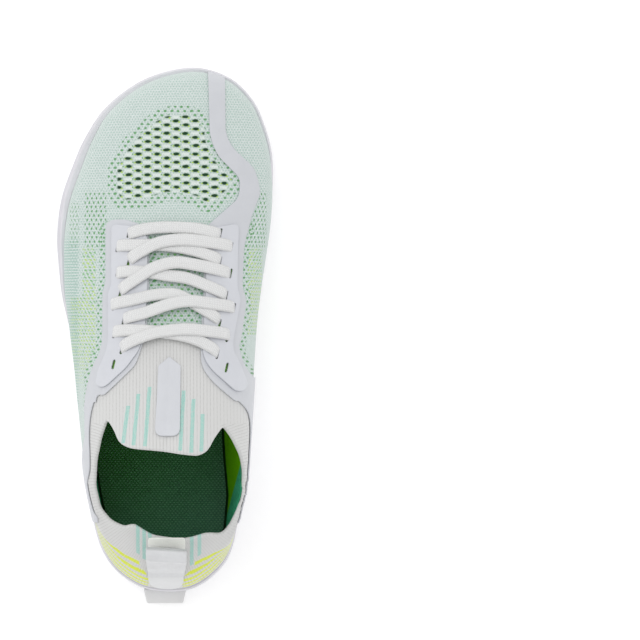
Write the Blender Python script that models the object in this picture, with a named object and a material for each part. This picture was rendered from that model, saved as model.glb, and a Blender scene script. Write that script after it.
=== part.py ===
# A knit barefoot running shoe for the left foot, standing empty on its sole.
# Metres, +Z up, +Y to the toe, +X to the big-toe side, origin under the middle of the shoe.

import math
from collections import namedtuple

import bmesh
import bpy
from mathutils import Matrix, Vector

# Main sizes of the shoe
SOLE_LENGTH = 0.279
BALL_WIDTH = 0.1157
INSTEP_HEIGHT = 0.110
HEEL_LIP_REACH = 0.0062

# Sole
LUG_DEPTH = 0.0016
FLOOR_THICKNESS = 0.0034
RIM_HEIGHT = 0.017
RIM_WIDTH = 0.0042
SOLE_FLARE = 0.0015
TOE_SPRING = 0.004
SPRING_START = 0.70
LUG_INSET = 0.007
LUG_LENGTH = 0.0115
LUG_PITCH = 0.016
FLEX_GROOVE = 0.005
LUG_SLANT = 0.16
HEEL_LIP_WIDTH = 0.0214
HEEL_LIP_TOP = 0.0095
HEEL_LIP_BOTTOM = 0.0035

# Upper and what lies in and on it
GAP = 0.0003
KNIT_WALL = 0.0020
SIDE_BULGE = 0.0036
INSOLE_THICKNESS = 0.003
FILM_THICKNESS = 0.0007
PANEL_THICKNESS = 0.0008
TAB_THICKNESS = 0.0010
LACE_WIDTH = 0.0058
LACE_THICKNESS = 0.0012
SLOT_LENGTH = 0.0072
SLOT_WIDTH = 0.0030
WEBBING_WIDTH = 0.0208
WEBBING_THICKNESS = 0.0013
LOOP_RISE = 0.0120
LOOP_GAP = 0.0046
COLLAR_HEIGHT = 0.080
LOOP_SEAT_HEIGHT = 0.0755
LOOP_END_HEIGHT = 0.0475
TAPE_WIDTH = 0.0204
TAPE_FRONT = 0.0046
TAPE_BACK = 0.0021

# One row a rib, from the heel's middle (first) to the toe's middle (last). Along is a share of
# SOLE_LENGTH from the back of the heel, across of BALL_WIDTH, heights of INSTEP_HEIGHT. Outer
# is the little-toe side. The wall line is where the knit meets the rim, the spine is where
# the two halves of the rib meet on top.
Rib = namedtuple("Rib", "outer_along outer_across inner_along inner_across "
                 "spine_along spine_across top widest outer_full inner_full")
RIBS = (
    Rib(0.010, 0.000, 0.010, 0.000, 0.163, 0.000, 0.81, 0.250, 1.45, 1.45),
    Rib(0.018, -0.111, 0.014, 0.111, 0.167, 0.000, 0.82, 0.252, 1.50, 1.50),
    Rib(0.046, -0.213, 0.037, 0.204, 0.175, 0.000, 0.83, 0.257, 1.50, 1.50),
    Rib(0.085, -0.276, 0.075, 0.278, 0.187, 0.000, 0.86, 0.262, 1.62, 1.65),
    Rib(0.138, -0.313, 0.138, 0.318, 0.203, 0.000, 0.93, 0.268, 1.95, 3.00),
    Rib(0.211, -0.343, 0.211, 0.351, 0.225, 0.000, 1.02, 0.272, 2.10, 3.20),
    Rib(0.288, -0.359, 0.288, 0.361, 0.258, 0.000, 1.02, 0.275, 1.85, 2.30),
    Rib(0.359, -0.371, 0.368, 0.370, 0.307, 0.002, 0.92, 0.275, 1.75, 2.00),
    Rib(0.432, -0.387, 0.441, 0.378, 0.378, 0.012, 0.81, 0.270, 1.75, 1.90),
    Rib(0.503, -0.419, 0.514, 0.391, 0.461, 0.023, 0.71, 0.265, 1.80, 1.90),
    Rib(0.566, -0.451, 0.580, 0.412, 0.545, 0.032, 0.63, 0.255, 1.90, 1.95),
    Rib(0.624, -0.461, 0.649, 0.437, 0.630, 0.042, 0.56, 0.245, 1.95, 2.00),
    Rib(0.681, -0.462, 0.718, 0.460, 0.706, 0.051, 0.505, 0.235, 2.00, 2.05),
    Rib(0.743, -0.440, 0.783, 0.475, 0.775, 0.065, 0.465, 0.225, 2.05, 2.10),
    Rib(0.802, -0.391, 0.837, 0.472, 0.825, 0.079, 0.440, 0.215, 2.15, 2.20),
    Rib(0.864, -0.331, 0.887, 0.442, 0.858, 0.090, 0.427, 0.210, 2.20, 2.25),
    Rib(0.920, -0.245, 0.935, 0.389, 0.879, 0.097, 0.419, 0.210, 2.25, 2.30),
    Rib(0.970, -0.083, 0.976, 0.282, 0.891, 0.101, 0.415, 0.210, 2.30, 2.30),
    Rib(0.992, 0.120, 0.992, 0.120, 0.896, 0.102, 0.413, 0.210, 2.30, 2.30),
)

# One row at every second rib: how far the rim stands out from the wall line (share of
# RIM_WIDTH), the flare below it (of SOLE_FLARE), how far the knit bulges over the rim (of
# SIDE_BULGE) and the rim's height (of RIM_HEIGHT).
Edge = namedtuple("Edge", "outer_rim inner_rim outer_flare inner_flare "
                  "outer_bulge inner_bulge height")
EDGES = (
    Edge(0.64, 0.64, 0.10, 0.10, 0.10, 0.10, 1.00),
    Edge(0.50, 0.64, 0.10, 0.10, 0.10, 0.10, 0.97),
    Edge(0.52, 0.52, 0.10, 0.10, 0.38, 0.42, 0.91),
    Edge(0.52, 0.52, 0.10, 0.10, 0.78, 0.78, 0.85),
    Edge(0.52, 0.52, 0.10, 0.10, 1.00, 1.00, 0.82),
    Edge(0.60, 0.57, 0.25, 0.10, 0.25, 0.92, 0.82),
    Edge(0.67, 0.60, 1.00, 0.10, 0.00, 0.86, 0.82),
    Edge(1.00, 0.52, 0.65, 0.10, 0.00, 0.14, 0.85),
    Edge(0.81, 0.50, 0.15, 0.10, 0.00, 0.00, 0.90),
    Edge(0.64, 0.64, 0.10, 0.10, 0.00, 0.00, 0.97),
)

RIB_STEPS = 34
CROWN_STEPS = 7


def round_the_shoe(table, outer, inner):
    """One column of a table as a closed row: heel, little-toe side, toe, big-toe side."""
    there = [getattr(row, outer) for row in table]
    back = [getattr(row, inner) for row in table]
    return there + back[-2:0:-1]


COLUMNS = {
    "along": round_the_shoe(RIBS, "outer_along", "inner_along"),
    "across": round_the_shoe(RIBS, "outer_across", "inner_across"),
    "full": round_the_shoe(RIBS, "outer_full", "inner_full"),
    "rim": round_the_shoe(EDGES, "outer_rim", "inner_rim"),
    "flare": round_the_shoe(EDGES, "outer_flare", "inner_flare"),
    "bulge": round_the_shoe(EDGES, "outer_bulge", "inner_bulge"),
    "height": round_the_shoe(EDGES, "height", "height"),
}
for shared in ("spine_along", "spine_across", "top", "widest"):
    COLUMNS[shared] = round_the_shoe(RIBS, shared, shared)


def read(column, turn):
    """A column's value at a turn round the shoe: 0 heel, 0.5 toe, 1 heel again."""
    values = COLUMNS[column]
    count = len(values)
    place = (turn % 1.0) * count
    i = int(place)
    t = place - i
    a, b, c, d = (values[(i + k) % count] for k in (-1, 0, 1, 2))
    return b + 0.5 * t * (c - a + t * (2 * a - 5 * b + 4 * c - d + t * (3 * (b - c) + d - a)))


def plan(along, across):
    return Vector((BALL_WIDTH * across - CENTRE[0], SOLE_LENGTH * along - CENTRE[1], 0))


def wall_line(turn):
    return plan(read("along", turn), read("across", turn))


def outward(turn):
    """Level direction out of the shoe, square to the wall line."""
    ahead = wall_line(turn + 0.002) - wall_line(turn - 0.002)
    return Vector((-ahead.y, ahead.x, 0)).normalized()


def sole_reach(turn):
    return RIM_WIDTH * read("rim", turn) + SOLE_FLARE * read("flare", turn)


def middle_of_outline():
    """Middle of the box round the sole's outline and the heel lip, in the table's frame."""
    edge = [wall_line(i / 360) + outward(i / 360) * sole_reach(i / 360) for i in range(360)]
    left, right = min(p.x for p in edge), max(p.x for p in edge)
    back, front = min(p.y for p in edge), max(p.y for p in edge)
    bulges = [wall_line(i / 360) + outward(i / 360) * SIDE_BULGE * read("bulge", i / 360)
              for i in range(360)]
    left = min(left, min(p.x for p in bulges))
    right = max(right, max(p.x for p in bulges))
    return (left + right) / 2, (back - HEEL_LIP_REACH + front) / 2, back


CENTRE = (0.0, 0.0)
MIDDLE_X, MIDDLE_Y, SOLE_BACK = middle_of_outline()
CENTRE = (MIDDLE_X, MIDDLE_Y)
SOLE_BACK -= MIDDLE_Y


def spring(y):
    """How far the toe end of the sole is raised at y."""
    start = plan(SPRING_START, 0).y
    toe = plan(1, 0).y
    return TOE_SPRING * max(0.0, (y - start) / (toe - start)) ** 2


def floor_height(y):
    """Top of the cup sole's floor."""
    return LUG_DEPTH + FLOOR_THICKNESS + spring(y)


def rim_height(turn):
    return RIM_HEIGHT * read("height", turn) + spring(wall_line(turn).y) * 0.5


def widest_height(turn):
    return INSTEP_HEIGHT * read("widest", turn)


def widest_point(turn):
    point = wall_line(turn) + outward(turn) * SIDE_BULGE * read("bulge", turn)
    point.z = widest_height(turn)
    return point


def spine_point(turn):
    point = plan(read("spine_along", turn), read("spine_across", turn))
    point.z = INSTEP_HEIGHT * read("top", turn)
    return point


def crown_point(turn, climb):
    """The last above its widest line: climb is 0 there and 1 on the spine."""
    power = 2 / read("full", turn)
    side, top = widest_point(turn), spine_point(turn)
    near = math.cos(climb * math.pi / 2) ** power if climb < 1 else 0.0
    rise = math.sin(climb * math.pi / 2) ** power
    point = top.lerp(side, near)
    point.z = side.z + (top.z - side.z) * rise
    return point


def wall_point(turn, z):
    """The last below its widest line: upright in the cup, then out over the rim."""
    start = over_rim(turn)
    share = min(1.0, max(0.0, (z - start) / (widest_height(turn) - start)))
    reach = SIDE_BULGE * read("bulge", turn) * math.sin(share * math.pi / 2)
    point = wall_line(turn) + outward(turn) * reach
    point.z = z
    return point


def new_object(name, mesh_maker, collection):
    mesh = bpy.data.meshes.new(name)
    shape = bmesh.new()
    mesh_maker(shape)
    bmesh.ops.recalc_face_normals(shape, faces=shape.faces)
    shape.to_mesh(mesh)
    shape.free()
    piece = bpy.data.objects.new(name, mesh)
    collection.objects.link(piece)
    return piece


def ring_of_quads(shape, lower, upper):
    count = len(lower)
    for i in range(count):
        k = (i + 1) % count
        corners = [lower[i], lower[k], upper[k], upper[i]]
        kept = [v for n, v in enumerate(corners) if v not in corners[:n]]
        if len(kept) > 2:
            shape.faces.new(kept)


def close_across(shape, ring):
    """Closes a ring with strips from the little-toe side to the big-toe side."""
    half = len(ring) // 2
    for i in range(half):
        corners = [ring[i], ring[i + 1], ring[-(i + 1)], ring[-i]]
        kept = [v for n, v in enumerate(corners) if v not in corners[:n]]
        if len(kept) > 2:
            shape.faces.new(kept)


def over_rim(turn):
    """Where the knit starts to lean out, just over the rim."""
    return rim_height(turn) + 4 * GAP


def cup_bottom(turn):
    return floor_height(wall_line(turn).y) + GAP


def under_cup(turn):
    return cup_bottom(turn) - KNIT_WALL


def under_film(turn):
    return over_rim(turn) - KNIT_WALL


def last_form(shape, grow, low_height=None):
    """The last grown outward as one closed form, from over the rim or from a lower ring."""
    turns = [i / (2 * RIB_STEPS) for i in range(2 * RIB_STEPS)]
    rings = []
    if low_height:
        rings.append([shape.verts.new(wall_point(t, low_height(t))) for t in turns])
    for share in (0.0, 0.5):
        levels = [over_rim(t) + (widest_height(t) - over_rim(t)) * share for t in turns]
        rings.append([shape.verts.new(wall_point(t, z)) for t, z in zip(turns, levels)])
    for step in range(CROWN_STEPS):
        rings.append([shape.verts.new(crown_point(t, step / CROWN_STEPS)) for t in turns])
    spine = [shape.verts.new(spine_point(turns[i])) for i in range(RIB_STEPS + 1)]
    rings.append([spine[min(i, 2 * RIB_STEPS - i)] for i in range(2 * RIB_STEPS)])
    for lower, upper in zip(rings, rings[1:]):
        ring_of_quads(shape, lower, upper)
    bmesh.ops.recalc_face_normals(shape, faces=shape.faces)
    shape.faces.ensure_lookup_table()
    shape.normal_update()
    if shape.faces[0].normal.dot(outward(0.0)) < 0:
        bmesh.ops.reverse_faces(shape, faces=shape.faces)
        shape.normal_update()
    lowest = [vert.co.z for vert in rings[0]]
    moves = [(v, v.normal * grow * v.calc_shell_factor()) for v in shape.verts]
    for vert, move in moves:
        vert.co += move
    for vert, height in zip(rings[0], lowest):
        vert.co.z = height
    close_across(shape, rings[0])


def boolean(piece, tool, operation):
    """Cuts or joins for good, and takes the tool away."""
    modifier = piece.modifiers.new(operation.title(), "BOOLEAN")
    modifier.operation = operation
    modifier.solver = "EXACT"
    modifier.use_self = True
    modifier.object = tool
    graph = bpy.context.evaluated_depsgraph_get()
    mesh = bpy.data.meshes.new_from_object(piece.evaluated_get(graph))
    piece.modifiers.clear()
    old = piece.data
    piece.data = mesh
    bpy.data.meshes.remove(old)
    bpy.data.objects.remove(tool)


def copy_of(piece, name, collection):
    twin = piece.copy()
    twin.data = piece.data.copy()
    twin.name = name
    twin.data.name = name
    collection.objects.link(twin)
    return twin


def shell(name, lift, thickness, collection):
    """A skin of the last, above the rim: from lift to lift plus thickness over the knit."""
    piece = new_object(name, lambda s: last_form(s, lift + thickness), collection)
    inside = new_object("inside", lambda s: last_form(s, lift, under_film), collection)
    boolean(piece, inside, "DIFFERENCE")
    return piece


def rounded(corners, radius, steps=3):
    """A closed outline with each corner rounded by a short arc."""
    outline = []
    count = len(corners)
    for i, corner in enumerate(corners):
        here = Vector(corner)
        before = Vector(corners[i - 1]) - here
        after = Vector(corners[(i + 1) % count]) - here
        cut = min(radius, 0.45 * before.length, 0.45 * after.length)
        start = here + before.normalized() * cut
        end = here + after.normalized() * cut
        for step in range(steps + 1):
            t = step / steps
            outline.append(start * (1 - t) ** 2 + here * 2 * t * (1 - t) + end * t * t)
    return outline


def prism(name, outline, depth, collection, facing="up"):
    """A flat outline made thick on both sides; facing side turns its x, y into y, z."""
    curve = bpy.data.curves.new(name, "CURVE")
    curve.dimensions = "2D"
    curve.fill_mode = "BOTH"
    curve.extrude = depth / 2
    spline = curve.splines.new("POLY")
    spline.points.add(len(outline) - 1)
    for point, place in zip(spline.points, outline):
        point.co = (place[0], place[1], 0, 1)
    spline.use_cyclic_u = True
    guide = bpy.data.objects.new(name, curve)
    collection.objects.link(guide)
    if facing == "side":
        guide.rotation_euler = (math.pi / 2, 0, math.pi / 2)
    if facing == "back":
        guide.rotation_euler = (math.pi / 2, 0, 0)
    bpy.context.view_layer.update()
    graph = bpy.context.evaluated_depsgraph_get()
    mesh = bpy.data.meshes.new_from_object(guide.evaluated_get(graph))
    mesh.transform(guide.matrix_world)
    bpy.data.objects.remove(guide)
    solid = bmesh.new()
    solid.from_mesh(mesh)
    bmesh.ops.remove_doubles(solid, verts=solid.verts, dist=0.00001)
    bmesh.ops.recalc_face_normals(solid, faces=solid.faces)
    solid.to_mesh(mesh)
    solid.free()
    piece = bpy.data.objects.new(name, mesh)
    collection.objects.link(piece)
    return piece


def plan_outline(shares):
    return [plan(along, across).to_2d() for along, across in shares]


# Outlines seen from above: rows of (along, across).
FILM_OUTER = (
    (0.705, -0.268), (0.709, -0.191), (0.698, -0.113), (0.679, -0.077), (0.582, -0.075),
    (0.497, -0.086), (0.456, -0.116), (0.434, -0.136), (0.421, -0.168), (0.386, -0.255),
    (0.378, -0.277), (0.380, -0.299), (0.367, -0.318), (0.345, -0.328), (0.345, -0.150),
    (0.100, -0.150), (0.100, -0.600), (0.345, -0.600), (0.345, -0.365), (0.375, -0.360),
    (0.424, -0.333), (0.457, -0.292), (0.480, -0.281), (0.570, -0.281), (0.587, -0.268),
)
FILM_INNER = (
    (0.972, 0.193), (0.868, 0.204), (0.830, 0.238), (0.787, 0.343), (0.749, 0.336),
    (0.696, 0.193), (0.674, 0.177), (0.582, 0.177), (0.497, 0.163), (0.444, 0.161),
    (0.426, 0.172), (0.403, 0.213), (0.367, 0.313), (0.367, 0.338), (0.345, 0.360),
    (0.345, 0.150), (0.100, 0.150), (0.100, 0.600), (0.402, 0.600), (0.407, 0.399),
    (0.437, 0.349), (0.470, 0.327), (0.480, 0.338), (0.557, 0.365), (0.580, 0.345),
    (0.659, 0.354), (0.719, 0.392), (0.762, 0.433), (0.806, 0.404), (0.843, 0.306),
    (0.871, 0.272), (0.966, 0.268),
)
PANEL_OUTER = (
    (0.699, -0.242), (0.692, -0.113), (0.676, -0.083), (0.582, -0.082), (0.497, -0.094),
    (0.460, -0.123), (0.445, -0.150), (0.430, -0.176), (0.396, -0.265), (0.393, -0.288),
    (0.399, -0.310), (0.426, -0.299), (0.459, -0.263), (0.482, -0.254), (0.570, -0.256),
    (0.583, -0.242),
)
PANEL_INNER = (
    (0.700, 0.331), (0.691, 0.213), (0.672, 0.185), (0.582, 0.185), (0.497, 0.172),
    (0.456, 0.170), (0.439, 0.186), (0.424, 0.213), (0.386, 0.315), (0.386, 0.350),
    (0.397, 0.370), (0.433, 0.338), (0.459, 0.304), (0.478, 0.301), (0.557, 0.338),
    (0.580, 0.322),
)
TAB = (
    (0.448, 0.018), (0.432, 0.067), (0.367, 0.065), (0.303, 0.063), (0.303, -0.045),
    (0.367, -0.036), (0.432, -0.029),
)

# The patch seen from behind: rows of (across, height as a share of LOOP_END_HEIGHT).
HEEL_PATCH = (
    (-0.062, 0.938), (0.072, 0.938), (0.068, 0.532), (0.038, 0.382), (-0.030, 0.382),
    (-0.058, 0.532),
)

# Lace slots from toe to ankle, two columns a side; rows of (along, across).
SLOTS_OUTER = (
    (0.682, -0.165), (0.655, -0.215), (0.627, -0.165), (0.608, -0.215), (0.567, -0.203),
    (0.545, -0.232), (0.518, -0.186), (0.493, -0.228), (0.463, -0.195), (0.435, -0.231),
)
SLOTS_INNER = (
    (0.682, 0.249), (0.656, 0.298), (0.629, 0.247), (0.606, 0.294), (0.564, 0.274),
    (0.541, 0.308), (0.511, 0.243), (0.486, 0.278), (0.454, 0.233), (0.429, 0.274),
)

# Side view of what the foot's opening takes away: rows of (along, height), the collar as a
# share of COLLAR_HEIGHT and the tongue's edge of INSTEP_HEIGHT.
COLLAR_LINE = (
    (-0.200, 1.300), (0.095, 1.040), (0.119, 0.990), (0.155, 0.900), (0.202, 0.850),
    (0.252, 0.865), (0.295, 0.930), (0.323, 0.975),
)
TONGUE_LINE = (
    (0.318, 0.755), (0.309, 0.810), (0.291, 0.885), (0.277, 0.935), (0.266, 0.985),
    (0.262, 1.400), (-0.200, 1.400),
)

# Side view of the films' edges on the quarter: rows of (along, height of INSTEP_HEIGHT).
QUARTER_TOP = (
    (0.346, 1.500), (0.346, 0.560), (0.289, 0.550), (0.224, 0.525), (0.185, 0.465),
    (0.158, 0.340), (0.140, 0.120), (0.135, -0.100), (-0.200, -0.100), (-0.200, 1.500),
)
QUARTER_FRONT = ((0.000, 0.290), (-0.078, 0.110), (-0.078, -0.100), (0.060, -0.100), (0.060, 0.290))

# The sole's section from the ground edge round the rim into the cup: shares of the rim and
# of the flare, a further inset, and the height as a share from the lug roots to the rim.
SOLE_SECTION = (
    (1.0, 1.0, -0.0030, 0.00),
    (1.0, 1.0, -0.0008, 0.08),
    (1.0, 1.0, 0.0000, 0.22),
    (1.0, 1.0, 0.0000, 0.40),
    (1.0, 0.0, -0.0003, 0.47),
    (1.0, 0.0, -0.0002, 0.86),
    (1.0, 0.0, -0.0008, 0.97),
    (0.6, 0.0, 0.0000, 1.00),
)

# Where lugs are left out under the arch, as shares of the length.
ARCH = (0.36, 0.50)


def turn_at(y, inner):
    """The turn round the shoe at which one side's wall line passes y."""
    low, high = (1.0, 0.5) if inner else (0.0, 0.5)
    for _ in range(40):
        middle = (low + high) / 2
        if wall_line(middle).y < y:
            low = middle
        else:
            high = middle
    return (low + high) / 2


def sole_body(shape):
    turns = [i / (2 * RIB_STEPS) for i in range(2 * RIB_STEPS)]
    rings = []
    for rim, flare, inset, height in SOLE_SECTION:
        ring = []
        for turn in turns:
            line = wall_line(turn)
            reach = RIM_WIDTH * read("rim", turn) * rim + SOLE_FLARE * read("flare", turn) * flare
            point = line + outward(turn) * (reach + inset)
            base = LUG_DEPTH + spring(line.y)
            point.z = base + (rim_height(turn) - base) * height
            ring.append(shape.verts.new(point))
        rings.append(ring)
    for height in ("rim", "floor"):
        ring = []
        for turn in turns:
            point = wall_line(turn) + outward(turn) * GAP
            floor = floor_height(point.y)
            point.z = rim_height(turn) - GAP if height == "rim" else floor
            ring.append(shape.verts.new(point))
        rings.append(ring)
    for lower, upper in zip(rings, rings[1:]):
        ring_of_quads(shape, lower, upper)
    close_across(shape, rings[0])
    close_across(shape, rings[-1])


def lug_outlines():
    """Slanted blocks in pairs along the sole, none under the arch: (outline, centre y)."""
    lugs = []
    count = int((SOLE_LENGTH - 2 * LUG_INSET) / LUG_PITCH)
    first = SOLE_BACK + SOLE_LENGTH / 2 - (count - 1) * LUG_PITCH / 2
    for i in range(count):
        y = first + i * LUG_PITCH
        share = (y - SOLE_BACK) / SOLE_LENGTH
        if ARCH[0] < share < ARCH[1]:
            continue
        middle = (wall_line(turn_at(y, False)).x + wall_line(turn_at(y, True)).x) / 2
        for side in (-1, 1):
            near = middle + side * FLEX_GROOVE / 2
            ends = [wall_line(turn_at(y + k * LUG_LENGTH, side > 0)).x for k in (-0.7, 0, 0.5)]
            far = middle + side * (min(abs(x - middle) for x in ends) - LUG_INSET / 2)
            if abs(far - near) < LUG_LENGTH / 2:
                continue
            drop = LUG_SLANT * abs(far - near)
            half = LUG_LENGTH / 2
            lugs.append((((near, y + half), (far, y + half - drop), (far, y - half - drop),
                          (near, y - half)), y))
    return lugs


def join(pieces):
    """One object from separate solids that don't touch."""
    shape = bmesh.new()
    for piece in pieces:
        shape.from_mesh(piece.data)
    shape.to_mesh(pieces[0].data)
    shape.free()
    for piece in pieces[1:]:
        bpy.data.objects.remove(piece)
    return pieces[0]


def make_outsole(parts, tools):
    sole = new_object("outsole", sole_body, parts)
    root = FLOOR_THICKNESS / 3
    lugs = []
    for i, (outline, y) in enumerate(lug_outlines()):
        lug = prism(f"lug_{i}", outline, LUG_DEPTH + root, tools)
        lug.data.transform(Matrix.Translation((0, 0, (LUG_DEPTH + root) / 2 + spring(y))))
        lugs.append(lug)
    boolean(sole, join(lugs), "UNION")
    back = SOLE_BACK - HEEL_LIP_REACH
    wide = HEEL_LIP_WIDTH / 2
    root_y = SOLE_BACK + RIM_WIDTH * read("rim", 0.0) * 0.6
    lip_outline = ((-wide, root_y), (-wide, SOLE_BACK), (-wide * 0.88, back),
                   (wide * 0.88, back), (wide, SOLE_BACK), (wide, root_y))
    lip = prism("lip", lip_outline, HEEL_LIP_TOP - HEEL_LIP_BOTTOM, tools)
    lip.data.transform(Matrix.Translation((0, 0, (HEEL_LIP_TOP + HEEL_LIP_BOTTOM) / 2)))
    boolean(sole, lip, "UNION")
    return sole


def insole_body(shape):
    turns = [i / (2 * RIB_STEPS) for i in range(2 * RIB_STEPS)]
    inset = KNIT_WALL + GAP
    edge = INSOLE_THICKNESS * 0.25
    rings = []
    for more, height in ((0, 0), (0, INSOLE_THICKNESS - edge), (edge, INSOLE_THICKNESS)):
        ring = []
        for turn in turns:
            point = wall_line(turn) - outward(turn) * (inset + more)
            point.z = cup_bottom(turn) + height
            ring.append(shape.verts.new(point))
        rings.append(ring)
    for lower, upper in zip(rings, rings[1:]):
        ring_of_quads(shape, lower, upper)
    close_across(shape, rings[0])
    close_across(shape, rings[-1])


def side_outline(rows, height, along_shift=0.0):
    return [(plan(along + along_shift, 0).y, height * share) for along, share in rows]


def make_upper(parts, tools):
    upper = new_object("upper", lambda s: last_form(s, 0.0, cup_bottom), parts)
    inside = new_object("inside", lambda s: last_form(s, -KNIT_WALL, under_cup), tools)
    boolean(upper, inside, "DIFFERENCE")
    profile = side_outline(COLLAR_LINE, COLLAR_HEIGHT) + side_outline(TONGUE_LINE, INSTEP_HEIGHT)
    opening = prism("opening", rounded(profile, 0.0025), 2 * BALL_WIDTH, tools, "side")
    boolean(upper, opening, "DIFFERENCE")
    return upper


def make_overlay(name, film, outline, front_along, parts, tools):
    piece = copy_of(film, name, parts)
    boolean(piece, prism("area", rounded(plan_outline(outline), 0.004), 0.4, tools), "INTERSECT")
    rear = prism("rear", side_outline(QUARTER_TOP, INSTEP_HEIGHT), 2 * BALL_WIDTH, tools, "side")
    boolean(piece, rear, "DIFFERENCE")
    slant = side_outline(QUARTER_FRONT, INSTEP_HEIGHT, front_along)
    boolean(piece, prism("slant", slant, 2 * BALL_WIDTH, tools, "side"), "DIFFERENCE")
    return piece


def slot_prism(along, across, tools):
    centre = plan(along, across)
    x, y = SLOT_WIDTH / 2, SLOT_LENGTH / 2
    corners = [(centre.x + a * x, centre.y + b * y) for a, b in ((-1, -1), (1, -1), (1, 1), (-1, 1))]
    return prism("slot", rounded(corners, SLOT_WIDTH / 2, 2), 0.4, tools)


def make_lace_panel(name, skin, outline, slots, parts, tools):
    piece = copy_of(skin, name, parts)
    boolean(piece, prism("area", rounded(plan_outline(outline), 0.003), 0.4, tools), "INTERSECT")
    boolean(piece, join([slot_prism(along, across, tools) for along, across in slots]), "DIFFERENCE")
    return piece


def strip_prism(start, end, tools):
    """A lace run seen from above, a little longer than from slot to slot."""
    a, b = plan(*start), plan(*end)
    ahead = (b - a).normalized()
    side = Vector((-ahead.y, ahead.x, 0)) * LACE_WIDTH / 2
    a = a - ahead * SLOT_WIDTH / 2
    b = b + ahead * SLOT_WIDTH / 2
    return prism("strip", [p.to_2d() for p in (a - side, b - side, b + side, a + side)], 0.4, tools)


def make_laces(skin, parts, tools):
    pieces = []
    bar = copy_of(skin, "lace_bar", parts)
    boolean(bar, strip_prism(SLOTS_OUTER[0], SLOTS_INNER[0], tools), "INTERSECT")
    pieces.append(bar)
    for i in range(1, 5):
        low, high = 2 * i - 1, 2 * i
        cross = strip_prism(SLOTS_OUTER[low], SLOTS_INNER[high], tools)
        boolean(cross, strip_prism(SLOTS_OUTER[high], SLOTS_INNER[low], tools), "UNION")
        piece = copy_of(skin, f"lace_crossing_{i}", parts)
        boolean(piece, cross, "INTERSECT")
        pieces.append(piece)
    return pieces


def heel_seat(z, lift):
    """A point on the heel's middle line, lifted off the knit, as (y, z)."""
    low, high = 0.0, 1.0
    for _ in range(40):
        middle = (low + high) / 2
        if crown_point(0.0, middle).z < z:
            low = middle
        else:
            high = middle
    here = crown_point(0.0, low)
    above = crown_point(0.0, low + 0.01)
    along = Vector((above.y - here.y, above.z - here.z)).normalized()
    return Vector((here.y, here.z)) + Vector((-along.y, along.x)) * lift


def smooth_path(points, steps=4):
    """Points on a smooth curve through the given ones."""
    ends = [2 * points[0] - points[1], *points, 2 * points[-1] - points[-2]]
    path = []
    for a, b, c, d in zip(ends, ends[1:], ends[2:], ends[3:]):
        for step in range(steps):
            t = step / steps
            path.append(b + 0.5 * t * (c - a + t * (2 * a - 5 * b + 4 * c - d
                                                    + t * (3 * (b - c) + d - a))))
    return path + [points[-1]]


def make_heel_loop(parts):
    """Webbing from over the patch up and back down to its seat on the tape."""
    half = WEBBING_THICKNESS / 2
    flat = GAP + half
    rise = LOOP_RISE
    wide = LOOP_GAP + WEBBING_THICKNESS
    seat = heel_seat(LOOP_SEAT_HEIGHT, GAP + FILM_THICKNESS + GAP + half)
    top = seat + Vector((0, rise))
    fall = LOOP_SEAT_HEIGHT - LOOP_END_HEIGHT
    points = [
        heel_seat(LOOP_END_HEIGHT, flat),
        heel_seat(LOOP_END_HEIGHT + 0.22 * fall, flat + 0.10 * wide),
        heel_seat(LOOP_END_HEIGHT + 0.50 * fall, flat + 0.50 * wide),
        seat + Vector((-1.12 * wide, -0.05 * rise)),
        top + Vector((-wide, -0.32 * rise)),
        top + Vector((-0.5 * wide, -half)),
        top + Vector((0, -0.32 * rise)),
        seat + Vector((0.0, 0.22 * rise)),
        seat + Vector((0.0, half)),
    ]
    path = smooth_path(points)
    left, right = [], []
    for i, point in enumerate(path):
        ahead = (path[min(i + 1, len(path) - 1)] - path[max(i - 1, 0)]).normalized()
        side = Vector((-ahead.y, ahead.x)) * half
        left.append(point + side)
        right.append(point - side)
    return prism("heel_loop", left + right[::-1], WEBBING_WIDTH, parts, "side")


def tape_outline():
    """Seen from above, a short band under the loop's seat."""
    seat = heel_seat(LOOP_SEAT_HEIGHT, 0).x
    half = TAPE_WIDTH / 2
    front, back = seat + TAPE_FRONT, seat - TAPE_BACK
    return [(-half, front), (half, front), (half, back), (-half, back)]


def make_heel_patch(skin, parts, tools):
    piece = copy_of(skin, "heel_patch", parts)
    outline = [(BALL_WIDTH * across, LOOP_END_HEIGHT * high) for across, high in HEEL_PATCH]
    cutter = prism("area", rounded(outline, 0.003), 0.08, tools, "back")
    cutter.data.transform(Matrix.Translation((0, SOLE_BACK, 0)))
    boolean(piece, cutter, "INTERSECT")
    return piece


FINISHES = {
    "outsole": ((0.60, 0.60, 0.64), 0.6),
    "insole": ((0.02, 0.06, 0.025), 0.95),
    "upper": ((0.62, 0.76, 0.70), 0.9),
    "overlay": ((0.65, 0.66, 0.71), 0.5),
    "lace_panel": ((0.66, 0.67, 0.72), 0.5),
    "tongue_tab": ((0.67, 0.68, 0.73), 0.5),
    "heel_tape": ((0.78, 0.78, 0.75), 0.8),
    "heel_loop": ((0.82, 0.82, 0.83), 0.6),
    "heel_patch": ((0.80, 0.80, 0.80), 0.5),
    "lace_bar": ((0.75, 0.75, 0.75), 0.85),
    "lace_crossing": ((0.75, 0.75, 0.75), 0.85),
}


def finish(piece):
    """A material of its own, and smooth shading with crisp edges."""
    colour, roughness = next(FINISHES[key] for key in FINISHES if piece.name.startswith(key))
    material = bpy.data.materials.new(piece.name)
    material.use_nodes = True
    surface = material.node_tree.nodes["Principled BSDF"]
    surface.inputs["Base Color"].default_value = (*colour, 1)
    surface.inputs["Roughness"].default_value = roughness
    surface.inputs["Metallic"].default_value = 0.0
    piece.data.materials.clear()
    piece.data.materials.append(material)
    piece.data.shade_smooth()
    piece.data.set_sharp_from_angle(angle=math.radians(38))


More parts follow.
